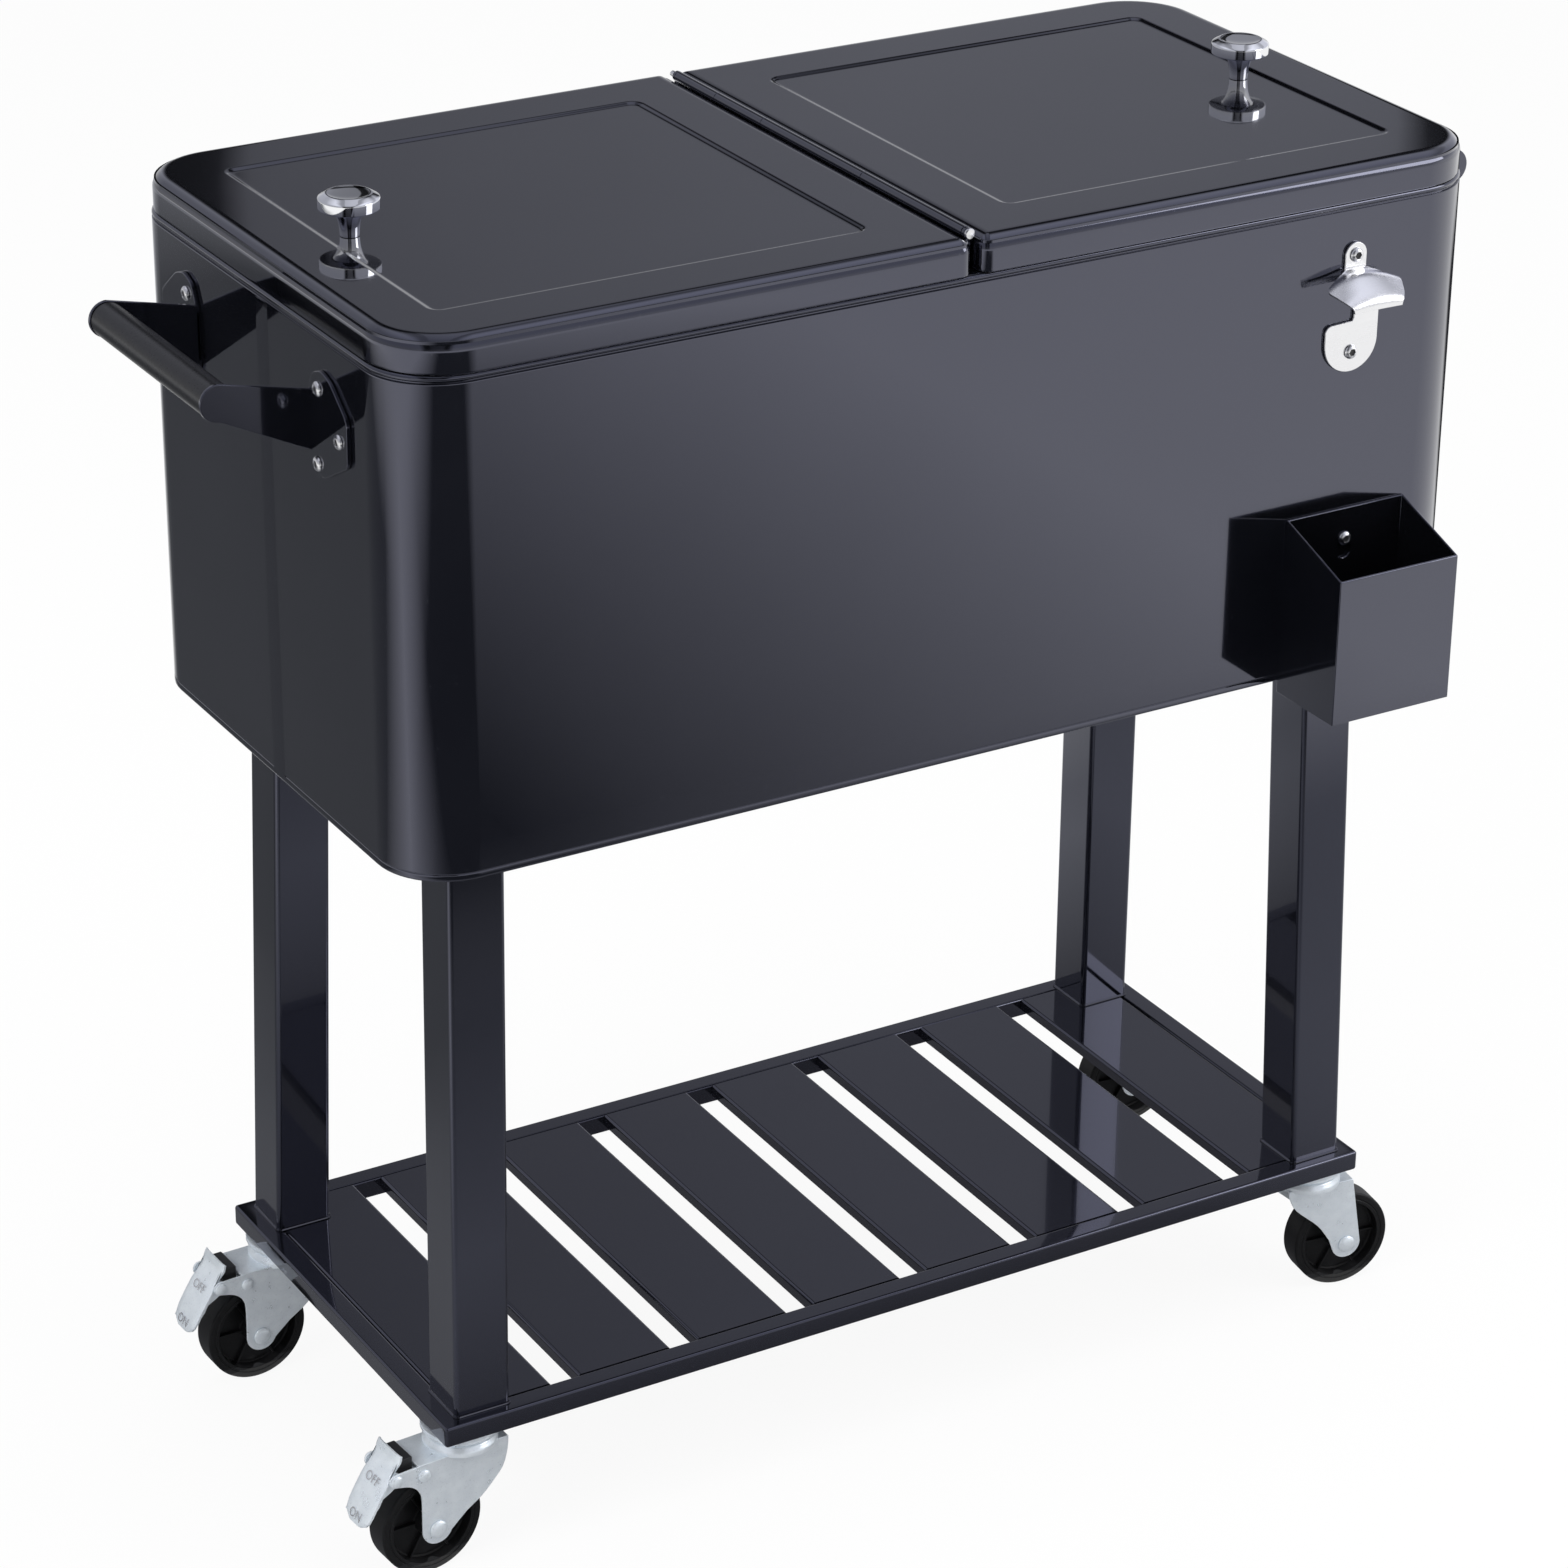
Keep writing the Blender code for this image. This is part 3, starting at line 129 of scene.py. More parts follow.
def feed(tree, node, sockets):
    """Give a node's sockets their links, numbers or colours."""
    for key, value in sockets.items():
        socket = node.inputs[key]
        if isinstance(value, Signal):
            tree.links.new(value.socket, socket)
        else:
            socket.default_value = (*value, 1.0) if socket.type == "RGBA" else value


def add_node(tree, kind, settings=None, sockets=None, output=0):
    """Any node: its settings are set first, then its sockets get numbers or links."""
    node = tree.nodes.new(kind)
    for key, value in (settings or {}).items():
        setattr(node, key, value)
    feed(tree, node, sockets or {})
    return Signal(tree, node.outputs[output])


def mixed(tree, factor, first, second):
    """A colour between first and second; colours are tuples or signals."""
    return add_node(tree, "ShaderNodeMix", {"data_type": "RGBA"},
                    {0: factor, 6: first, 7: second}, output=2)


def place_of(tree, stretch=EVEN):
    """Object coordinates in metres, times a stretch along each axis."""
    spot = add_node(tree, "ShaderNodeTexCoord", output=3)
    if stretch == EVEN:
        return spot
    return add_node(tree, "ShaderNodeMapping", {}, {"Vector": spot, "Scale": stretch})


def parts_of(tree, count, scale=1.0):
    """The first numbers of the object coordinates, each times a scale."""
    split = add_node(tree, "ShaderNodeSeparateXYZ", {}, {0: place_of(tree)})
    return [Signal(tree, split.socket.node.outputs[index]) * scale for index in range(count)]


def noise(tree, scale, detail=2.0, stretch=EVEN):
    """Smooth noise from 0 to 1; scale times stretch counts its lumps in a metre."""
    return add_node(tree, "ShaderNodeTexNoise", {},
                    {"Vector": place_of(tree, stretch), "Scale": scale, "Detail": detail})


def bump(tree, height, distance, strength):
    """A normal bent by a height that runs from 0 to 1 over a distance in metres."""
    return add_node(tree, "ShaderNodeBump", {},
                    {"Height": height, "Distance": distance, "Strength": strength})


def finish(name, build):
    """A material whose Principled sockets come from build(tree), as values or signals."""
    made = bpy.data.materials.new(name)
    made.use_nodes = True
    tree = made.node_tree
    feed(tree, tree.nodes["Principled BSDF"], build(tree))
    print("made the finish", name)
    return made


print("shader helpers ready")

# %% [markdown]
# ## Gloss black paint
# Nearly the whole cooler is steel sheet with a gloss black powder coat. Its black is almost
# nothing, so what shows is its reflection. The coat has a fine orange peel, broader soft waves of
# the sheet beneath, and a few specks of dust that settled before it cured. A high index of
# refraction under a thin clear coat gives the cool grey sheen that the photograph has. The grips
# carry a thicker coat with a fine grain.

# %% The paint
PAINT_BLACK, PAINT_GREY = (0.0022, 0.0024, 0.0034), (0.0042, 0.0045, 0.0060)
GRIP_BLACK, GRIP_GREY = (0.0060, 0.0062, 0.0075), (0.0110, 0.0112, 0.0130)
DUST_GREY = (0.022, 0.023, 0.026)


def paint(tree):
    """Black, a little greyer in soft clouds, with rare specks and an orange peel of 1.5 mm lumps."""
    cloud = noise(tree, 7.0, 3.0)
    peel = noise(tree, 650.0, 1.0)
    waves = noise(tree, 26.0, 1.0)
    speck = noise(tree, 420.0, 0.0).ramp(0.82, 0.86)
    colour = mixed(tree, cloud.ramp(0.35, 0.7), PAINT_BLACK, PAINT_GREY)
    return {
        "Base Color": mixed(tree, speck * 0.5, colour, DUST_GREY),
        "Roughness": 0.055 + 0.05 * cloud + 0.1 * speck,
        "IOR": 1.80,
        "Specular Tint": (0.64, 0.67, 1.0),
        "Coat Weight": 1.0,
        "Coat Roughness": 0.02,
        "Coat IOR": 1.5,
        "Normal": bump(tree, 0.07 * peel + 0.9 * waves, 0.0002, 0.12),
    }


def grip_paint(tree):
    """The grip's thicker coat: the same black over a fine leathery grain, so its light is broader."""
    grain = noise(tree, 700.0, 3.0)
    return {
        "Base Color": mixed(tree, grain.ramp(0.4, 0.7), GRIP_BLACK, GRIP_GREY),
        "Roughness": 0.20 + 0.12 * grain + 0.06 * noise(tree, 40.0),
        "Normal": bump(tree, grain, 0.00012, 0.45),
    }


FINISHES = {"black_paint": finish("gloss_black_paint", paint)}
grip_black = finish("grained_black_paint", grip_paint)

# %% [markdown]
# ## Metals
# Three bright metals sit on the black. The knobs are polished chrome, almost a pure mirror with
# hairline scuffs. The opener is stainless sheet with a fine grain. The casters are pressed steel
# with zinc plating: bluish, a little milky, with faint cloudy patches and fine drawing lines.

# %% Chrome, stainless steel and zinc
def chrome_metal(tree):
    """A mirror with hairline scuffs, long along Z and fine across it."""
    scuff = noise(tree, 1.0, 3.0, (900.0, 900.0, 60.0)).ramp(0.62, 0.8)
    haze = noise(tree, 60.0)
    return {
        "Base Color": mixed(tree, haze, (0.86, 0.87, 0.89), (0.92, 0.92, 0.93)),
        "Metallic": 1.0,
        "Roughness": 0.035 + 0.05 * scuff + 0.02 * haze,
        "Normal": bump(tree, scuff, 0.00002, 0.15),
    }


def stainless_metal(tree):
    """Bright sheet with a grain that runs along X, plus soft smudges."""
    grain = noise(tree, 1.0, 3.0, (40.0, 1800.0, 1800.0))
    return {
        "Base Color": mixed(tree, grain, (0.84, 0.84, 0.85), (0.93, 0.93, 0.94)),
        "Metallic": 1.0,
        "Roughness": 0.17 + 0.08 * grain + 0.10 * noise(tree, 90.0),
        "Normal": bump(tree, grain, 0.00003, 0.25),
    }


def zinc_metal(tree):
    """Plated steel: bluish clouds of 8 mm, fine lines from the press and dull specks."""
    cloud = noise(tree, 120.0, 3.0)
    lines = noise(tree, 1.0, 2.0, (1500.0, 1500.0, 120.0))
    speck = noise(tree, 900.0, 1.0).ramp(0.6, 0.75)
    colour = mixed(tree, cloud.ramp(0.3, 0.7), (0.76, 0.82, 0.88), (0.86, 0.92, 0.97))
    return {
        "Base Color": mixed(tree, speck * 0.20, colour, (0.36, 0.39, 0.43)),
        "Metallic": 0.50,
        "Roughness": 0.24 + 0.10 * cloud + 0.10 * speck,
        "Normal": bump(tree, 0.6 * lines + 0.4 * cloud, 0.00005, 0.3),
    }


FINISHES["chrome"] = finish("polished_chrome", chrome_metal)
FINISHES["stainless_steel"] = finish("stainless_sheet", stainless_metal)
FINISHES["zinc_plate"] = finish("zinc_plate", zinc_metal)

# %% [markdown]
# ## Plastics and foam
# The wheels are hard black plastic with a pebbled skin. The seals, the brake shoes and the drain's
# stopper are satin black. The liner is white and slightly warm, and its fine grain takes the shine
# off. The foam is hidden, but a cut or an open pose could show it, so it gets its cells.

# %% The plastics
def pebbled(tree):
    """Black with pale worn grains of about half a millimetre."""
    grain = noise(tree, 1500.0)
    worn = grain.ramp(0.56, 0.72)
    return {
        "Base Color": mixed(tree, worn * 0.6, (0.0045, 0.0045, 0.0050), (0.026, 0.027, 0.029)),
        "Roughness": 0.32 + 0.16 * noise(tree, 70.0) + 0.12 * worn,
        "Specular IOR Level": 0.35,
        "Normal": bump(tree, grain, 0.00012, 0.5),
    }


def satin_black(tree):
    """Moulded black with a fine even grain."""
    grain = noise(tree, 1100.0)
    return {
        "Base Color": mixed(tree, noise(tree, 30.0), (0.012, 0.012, 0.013), (0.022, 0.022, 0.024)),
        "Roughness": 0.36 + 0.15 * grain,
        "Normal": bump(tree, grain, 0.00008, 0.35),
    }


def white_liner(tree):
    """White moulding with cloudy warmth and a fine grain."""
    grain = noise(tree, 800.0)
    return {
        "Base Color": mixed(tree, noise(tree, 9.0, 3.0), (0.74, 0.745, 0.75), (0.80, 0.80, 0.795)),
        "Roughness": 0.30 + 0.16 * grain,
        "Normal": bump(tree, grain, 0.00008, 0.25),
    }


def poured_foam(tree):
    """Cream foam: round cells of 2 mm with darker walls."""
    cells = add_node(tree, "ShaderNodeTexVoronoi", {}, {"Vector": place_of(tree), "Scale": 500.0})
    colour = mixed(tree, noise(tree, 18.0, 3.0), (0.70, 0.60, 0.36), (0.80, 0.72, 0.50))
    return {
        "Base Color": mixed(tree, cells.ramp(0.3, 0.8) * 0.5, colour, (0.50, 0.41, 0.22)),
        "Roughness": 0.85,
        "Normal": bump(tree, cells, 0.0006, 0.6),
    }


FINISHES["wheel_plastic"] = finish("pebbled_wheel_plastic", pebbled)
FINISHES["black_plastic"] = finish("satin_black_plastic", satin_black)
FINISHES["liner_plastic"] = finish("white_liner_plastic", white_liner)
FINISHES["foam"] = finish("poured_foam", poured_foam)

# %% Give every CAD node its finish
node_slots = {part["node"]: part["material_slot"] for part in frame["record"]["subparts"]}
for node, slot in node_slots.items():
    dressed = bpy.data.objects[node].data.materials
    dressed.clear()
    dressed.append(FINISHES[slot])
print("dressed", len(node_slots), "nodes")

# %% [markdown]
# ## How a new piece is made
# The CAD solids bend in few steps, and a mirror-like paint shows every step. Each visible piece is
# therefore worked out again on a finer grid. A piece is a stack of rings, each with the same count
# of points. Neighbouring rings are joined with four-sided faces, and the stack is either capped at
# its two ends or closed on itself. A weighted normal keeps the large flat faces flat.

# %% Rings into a piece
SHARP_EDGE = math.radians(38.0)
SAME_POINT = 0.000001
CORNER_STEPS = 14


def ring_faces(rows, count, loop):
    """Faces between neighbouring rings: point j of ring i is number i * count + j."""
    row = np.arange(rows if loop else rows - 1)[:, None]
    column = np.arange(count)[None, :]
    after = (column + 1) % count
    above = (row + 1) % rows
    faces = np.stack([row * count + column, row * count + after,
                      above * count + after, above * count + column], axis=-1)
    return faces.reshape(-1, 4).tolist()


def moved(points, place):
    """Points carried by a matrix: turned, then shifted."""
    return points @ np.array(place.to_3x3()).T + np.array(place.translation)


def make_piece(name, stacks, slot, body="chest", node=None, place=None, look=None):
    """A piece from stacks (rings[rows, count, 3], loop); a stack that is no loop gets two caps."""
    points, faces, start = [], [], 0
    for rings, loop in stacks:
        rows, count = rings.shape[:2]
        points.append(rings.reshape(-1, 3))
        new = ring_faces(rows, count, loop)
        if not loop:
            new += [list(range(count)), list(range((rows - 1) * count, rows * count))]
        faces += [[corner + start for corner in face] for face in new]
        start += rows * count
    everything = np.concatenate(points)
    if place is not None:
        everything = moved(everything, place)
    mesh = bpy.data.meshes.new(name)
    mesh.from_pydata(everything.tolist(), [], faces)
    return place_piece(name, mesh, slot, body, node, look)


def place_piece(name, mesh, slot, body, node=None, look=None):
    """Merge a mesh, turn its faces outward, smooth it, and let it ride with a body for a CAD node."""
    work = bmesh.new()
    work.from_mesh(mesh)
    bmesh.ops.remove_doubles(work, verts=work.verts, dist=SAME_POINT)
    bmesh.ops.recalc_face_normals(work, faces=work.faces)
    work.to_mesh(mesh)
    work.free()
    mesh.materials.clear()
    mesh.materials.append(look or FINISHES[slot])
    mesh.shade_smooth()
    mesh.set_sharp_from_angle(angle=SHARP_EDGE)
    made = linked(name, mesh)
    made.modifiers.new("even_shading", "WEIGHTED_NORMAL").keep_sharp = True
    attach(made, body)
    if node:
        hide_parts(node)
    print(f"{name}: {len(mesh.polygons)} faces, on {body}")
    return made


def quarter(steps):
    """Cosines and sines of a quarter turn, from 0 to 90 degrees."""
    angles = np.linspace(0, math.pi / 2, steps + 1)
    return np.cos(angles), np.sin(angles)


def box_ring(low_x, high_x, low_y, high_y, high_radius, low_radius=None, steps=CORNER_STEPS):
    """A rectangle whose corners are quarter circles: corner centre + radius * (cos, sin)."""
    low_radius = high_radius if low_radius is None else low_radius
    across, up = quarter(steps)
    corners = []
    for x, y, radius in (
            (high_x - high_radius, high_y - high_radius, high_radius),
            (low_x + low_radius, high_y - low_radius, low_radius),
            (low_x + low_radius, low_y + low_radius, low_radius),
            (high_x - high_radius, low_y + high_radius, high_radius)):
        corners.append(np.stack([x + radius * across, y + radius * up], axis=-1))
        across, up = -up, across
    return np.concatenate(corners)


def at_level(ring, level, axis=2):
    """A flat ring in space: its level goes in as the coordinate of the third axis."""
    return np.insert(ring, axis, level, axis=1)


def arc(a, b, radius, start, end, steps=5):
    """Points at (a + r cos, b + r sin) between two angles in degrees."""
    angles = np.radians(np.linspace(start, end, steps + 1))
    return list(zip(a + radius * np.cos(angles), b + radius * np.sin(angles)))


print("ring helpers ready")

# %% [markdown]
# ## Chest
# The chest is a box of sheet with round upright corners. Its skin is folded in at the bottom over
# a small radius with a shallow groove over it. On the left end the sheet's two edges lap in one
# upright seam. The skin and the white liner are each one closed surface: the rings go down the
# outside, in across the floor to the drain hole, through it, and back along the inside.

# %% Sizes of the chest
GAP = 0.0003
SHIFT = 0.0294
HALF_X, HALF_Y = 0.375, 0.1845
CORNER, LEAST_CORNER = 0.045, 0.004
BASE, TOP = 0.5015, 0.8085
SKIN, WALL = 0.0012, 0.024
LINER_FLOOR = 0.5295
FLANGE_BASE, FLANGE_TOP = 0.8088, 0.8101
RIM_BASE, RIM_TOP = 0.8104, 0.8132
DRAIN_X, DRAIN_HOLE = -0.250, 0.0143
SIDES = {"left": -1, "right": 1}
ENDS = {"front": -1, "back": 1}


def chest_ring(inset, height):
    """The chest's outline moved in by an inset: corner radius 45 mm less the inset."""
    ring = box_ring(inset - HALF_X, HALF_X - inset, inset - HALF_Y, HALF_Y - inset,
                    max(CORNER - inset, LEAST_CORNER))
    return at_level(ring + (0, SHIFT), height)


def drain_ring(like, height):
    """The drain hole's circle, with each point in the direction of the same point of a ring."""
    toward = np.arctan2(like[:, 1] - SHIFT, like[:, 0] - DRAIN_X)
    circle = np.stack([DRAIN_X + DRAIN_HOLE * np.cos(toward), SHIFT + DRAIN_HOLE * np.sin(toward)], axis=-1)
    return at_level(circle, height)


def cup(name, outside, inside, floor_low, floor_high, slot, node):
    """A skin with a drain hole: outside profile, hole, then inside profile, closed on itself."""
    outer, inner = ([chest_ring(*point) for point in profile] for profile in (outside, inside))
    hole = [drain_ring(outer[-1], floor_low), drain_ring(inner[0], floor_high)]
    make_piece(name, [(np.array(outer + hole + inner), True)], slot, node=node)


print("chest:", 2 * HALF_X, "by", 2 * HALF_Y, "m")

# %% Skin of the chest
HEM, GROOVE = 0.0016, 0.0004
FLOOR_LOW = BASE + 0.0004
outside = [(0.0005, TOP), (0.0001, TOP - 0.0003), (0.0, TOP - 0.0008), (0.0, BASE + 0.0056),
           (GROOVE, BASE + 0.0050), (GROOVE, BASE + 0.0046), (0.0, BASE + 0.0040)]
outside += arc(HEM, BASE + HEM, -HEM, 0, 90) + [(0.012, BASE), (0.0126, FLOOR_LOW), (0.03, FLOOR_LOW)]
inside = [(0.03, BASE + SKIN), (0.004, BASE + SKIN), (SKIN, BASE + 0.004), (SKIN, TOP)]
cup("chest_skin", outside, inside, FLOOR_LOW, BASE + SKIN, "black_paint", "tub_shell")

# %% Lap seam on the left end
LAP_WIDTH, LAP_RISE = 0.014, 0.0009
lap = np.array([(0.0002, 0.0), (-LAP_RISE, 0.0), (-LAP_RISE, -0.0003), (-LAP_RISE * 0.5, -LAP_WIDTH * 0.6),
                (-0.00002, -LAP_WIDTH), (0.0002, -LAP_WIDTH)]) + (-HALF_X, SHIFT)
lap_rings = np.array([at_level(lap, height) for height in (BASE + 0.003, TOP - 0.001)])
make_piece("end_lap_seam", [(lap_rings, False)], "black_paint")

# %% White liner with its flange
UNDER = LINER_FLOOR - 0.002
OUTER_WALL = WALL - 0.002
FLOOR_ROUND, LIP_ROUND = 0.014, 0.003
outside = [(0.0046, FLANGE_TOP), (0.004, FLANGE_TOP - 0.0005), (0.004, FLANGE_BASE),
           (OUTER_WALL, FLANGE_BASE), (OUTER_WALL, LINER_FLOOR + 0.012),
           (WALL + 0.002, LINER_FLOOR + 0.002), (WALL + 0.010, UNDER), (WALL + 0.02, UNDER)]
inside = [(WALL + 0.030, LINER_FLOOR), (WALL + FLOOR_ROUND, LINER_FLOOR)]
inside += arc(WALL + FLOOR_ROUND, LINER_FLOOR + FLOOR_ROUND, -FLOOR_ROUND, 90, 0, 8)[1:]
inside += [(WALL, FLANGE_TOP - LIP_ROUND)]
inside += arc(WALL - LIP_ROUND, FLANGE_TOP - LIP_ROUND, LIP_ROUND, 0, 90)[1:] + [(0.010, FLANGE_TOP)]
cup("white_liner", outside, inside, UNDER, LINER_FLOOR, "liner_plastic", "tub_liner")

# %% [markdown]
# ## Rim
# Between the chest and the lids runs a rolled rim, which shows as one bright line under the lids.
# Its outer edge is a half-round bead all the way round, over a skirt that reaches inside the skin.
# Behind it lies a flat strip that stops at each side of the bar across the opening, so it is made
# as a left and a right half.

# %% The rolled rim
BAR_HALF = 0.0223
BEAD, ROLL = 0.0022, 0.0019
SKIRT_BASE, SKIRT_OUT, SKIRT_IN = TOP - 0.0020, 0.00125, 0.0036
STRIP_TOP, STRIP_EASE = RIM_TOP - 0.0002, 0.0008
bead_profile = arc(ROLL, RIM_TOP - ROLL, ROLL, 270, 90, 10)
bead_profile += [(BEAD, RIM_TOP), (BEAD, RIM_BASE), (SKIRT_IN, RIM_BASE), (SKIRT_IN, SKIRT_BASE),
                 (SKIRT_OUT, SKIRT_BASE), (SKIRT_OUT, RIM_TOP - 2 * ROLL)]
bead = np.array([chest_ring(inset, height) for inset, height in bead_profile])


def half_strip(side):
    """The flat strip behind the bead on one side: a rectangle of inset and height along the outline."""
    rows = []
    for inset, height in ((BEAD, RIM_BASE), (BEAD, STRIP_TOP), (WALL - STRIP_EASE, STRIP_TOP),
                          (WALL, RIM_TOP - 0.0009), (WALL, RIM_BASE)):
        ring = np.roll(chest_ring(inset, height), side * (CORNER_STEPS + 1), axis=0)
        half = ring[ring[:, 0] * side > 0]
        half = half[np.argsort(-side * np.unwrap(np.arctan2(half[:, 1] - SHIFT, half[:, 0] * side)))]
        first, last = half[0].copy(), half[-1].copy()
        first[0] = last[0] = side * BAR_HALF
        rows.append(np.vstack([first, half, last]))
    return np.array(rows).transpose(1, 0, 2), False


make_piece("rolled_rim", [(bead, True), half_strip(1), half_strip(-1)], "black_plastic", node="tub_rim",
           look=FINISHES["black_paint"])

# %% [markdown]
# ## Lids
# Each lid is a shallow pressed tray turned upside down. Its outer corners follow the chest's and
# its inner corners are tight. The top edge rolls over on a radius of 9 mm. A rectangle is pressed
# into the top: its bank is 5 mm wide and falls 1.5 mm in a soft S, so it shows as one thin line,
# grey on the near sides and dark on the far ones. The rings of the cover come down its inside
# first, then go up the wall, over the edge and into the recess.

# %% A lid's cover and inner panel
LID_INNER, LID_OUTER, LID_HALF_Y = 0.0027, 0.374, 0.1855
LID_BASE, LID_TOP = 0.8135, 0.8357
LID_CORNER, LID_INNER_CORNER, LID_EDGE, LID_SHEET = 0.047, 0.008, 0.009, 0.0012
RECESS_NEAR, RECESS_FAR, RECESS_SIDE = 0.0467, 0.3319, 0.1408
RECESS_SINK, RECESS_BANK, RECESS_CORNER = 0.0015, 0.0052, 0.0085
LEAST_INNER_CORNER, LEAST_RECESS_CORNER = 0.001, 0.0012
RECESS_TOP = LID_TOP - RECESS_SINK
PANEL_BASE = LID_BASE + 0.0006


def lid_ring(side, inset, height):
    """The lid's outline moved in by an inset, on the right for side 1 and mirrored for side -1."""
    ring = box_ring(LID_INNER + inset, LID_OUTER - inset, inset - LID_HALF_Y, LID_HALF_Y - inset,
                    LID_CORNER - inset, max(LID_INNER_CORNER - inset, LEAST_INNER_CORNER))
    return at_level(ring * (side, 1) + (0, SHIFT), height)


def recess_ring(side, inset, fall):
    """The pressed rectangle moved in by an inset, a fall below the top; its corners are tight."""
    ring = box_ring(RECESS_NEAR + inset, RECESS_FAR - inset, inset - RECESS_SIDE, RECESS_SIDE - inset,
                    max(RECESS_CORNER - inset, LEAST_RECESS_CORNER))
    return at_level(ring * (side, 1) + (0, SHIFT), LID_TOP - fall)


def make_lid(word, side):
    """Cover: inside, wall, rolled edge, bank z = top - sink * (1 - cos(pi t)) / 2; then the panel."""
    profile = [(LID_SHEET, RECESS_TOP - 0.0014), (LID_SHEET, LID_BASE + 0.0004), (0.0009, LID_BASE),
               (0.0001, LID_BASE + 0.0006), (0.0, LID_BASE + 0.0016)]
    profile += [(0.0, LID_TOP - LID_EDGE)] + arc(LID_EDGE, LID_TOP - LID_EDGE, -LID_EDGE, 0, -90, 8)[1:]
    rings = [lid_ring(side, *point) for point in profile + [(0.0104, LID_TOP)]]
    rings += [recess_ring(side, RECESS_BANK * t - 0.001, RECESS_SINK * (1 - math.cos(math.pi * t)) / 2)
              for t in np.linspace(0, 1, 9)]
    rings.append(recess_ring(side, RECESS_BANK + 0.0004, RECESS_SINK))
    make_piece(f"{word}_lid_cover_fine", [(np.array(rings), False)], "black_paint", f"{word}_lid",
               f"{word}_lid_cover")
    panel = [(0.0015, PANEL_BASE + 0.0025), (0.0015, PANEL_BASE + 0.0006), (0.0021, PANEL_BASE),
             (0.014, PANEL_BASE), (0.0155, PANEL_BASE + 0.0010), (0.0170, PANEL_BASE + 0.0010)]
    make_piece(f"{word}_lid_inner_panel", [(np.array([lid_ring(side, *point) for point in panel]), False)],
               "liner_plastic", f"{word}_lid", f"{word}_lid_panel")


for word, side in SIDES.items():
    make_lid(word, side)

# %% [markdown]
# ## Turned pieces
# Knobs, rivets, tubes and wheels are lathe work: a profile of radius and height is carried round an
# axis. A hexagon factor lets the same function cut the socket of a screw: between two corners of a
# hexagon the radius is cos(30) / cos(angle from the middle of the side).

# %% Profiles carried round an axis
NEAR_AXIS = 0.0002


def lathe(profile, steps, loop=False, hexed=0):
    """A stack of rings of radius and height round Z; the last `hexed` rings are hexagons."""
    angles = np.linspace(0, 2 * math.pi, steps, endpoint=False)
    hexagon = math.cos(math.pi / 6) / np.cos(np.mod(angles, math.pi / 3) - math.pi / 6)
    rings = []
    for number, (radius, height) in enumerate(profile):
        around = radius * (hexagon if number >= len(profile) - hexed else 1.0)
        flat = np.stack([around * np.cos(angles), around * np.sin(angles)], axis=-1)
        rings.append(at_level(flat, height))
    return np.array(rings), loop


def both_ways(profile):
    """A profile of radius and height, followed by its mirror image below."""
    return profile + [(radius, -height) for radius, height in profile[::-1]]


def smooth_line(points, steps):
    """Catmull-Rom: half of (2p1 + (p2-p0)t + (2p0-5p1+4p2-p3)t2 + (3p1-p0-3p2+p3)t3)."""
    points = np.asarray(points, dtype=float)
    padded = np.vstack([2 * points[0] - points[1], points, 2 * points[-1] - points[-2]])[:, None, :]
    before, start, end, after = padded[:-3], padded[1:-2], padded[2:-1], padded[3:]
    t = np.linspace(0, 1, steps, endpoint=False)[None, :, None]
    curve = 0.5 * (2 * start + (end - before) * t + (2 * before - 5 * start + 4 * end - after) * t ** 2
                   + (3 * start - before - 3 * end + after) * t ** 3)
    return np.vstack([curve.reshape(-1, points.shape[1]), points[-1]])


def along(x, y, z, axis):
    """A place and a direction for a lathe's Z axis."""
    return Matrix.Translation((x, y, z)) @ Vector(axis).to_track_quat("Z", "Y").to_matrix().to_4x4()


print("lathe helpers ready")

# %% [markdown]
# ## Knobs
# Each lid has a chromed knob: a slim neck that flares up into a thick disc. The disc's top rises to
# a ring with a shallow dish inside. What looks like a second disc below is its reflection in the lid.

# %% The two knobs
KNOB_X = 0.3145
neck = smooth_line([(0.0058, 0.0), (0.0059, 0.0012), (0.0061, 0.0040), (0.0065, 0.0070), (0.0073, 0.0102),
                    (0.0084, 0.0132), (0.0101, 0.0160)], 5).tolist()
head = [(0.0112, 0.0163), (0.0172, 0.0163), (0.0180, 0.0166), (0.0184, 0.0173), (0.0184, 0.0224),
        (0.0183, 0.0230), (0.0179, 0.0235), (0.0168, 0.0242), (0.0155, 0.0249), (0.0143, 0.0256),
        (0.0135, 0.0259), (0.0129, 0.0260), (0.0123, 0.02585), (0.0112, 0.02555), (0.0092, 0.02530),
        (0.0065, 0.02515), (0.0035, 0.02508), (0.0006, 0.02506)]
for word, side in SIDES.items():
    make_piece(f"{word}_chrome_knob", [lathe(neck + head, 72)], "chrome", f"{word}_lid", f"{word}_lid_knob",
               along(side * KNOB_X, SHIFT, RECESS_TOP + GAP, (0, 0, 1)))

# %% [markdown]
# ## Hinge
# Both lids turn on one rod in the slot between them. Each lid's leaf carries two rolled knuckles,
# and two lugs stand up from the bar across the opening. The rod's peened end shows at the front as
# a bright disc. The knuckles are tubes, so they are closed loops carried round the rod.

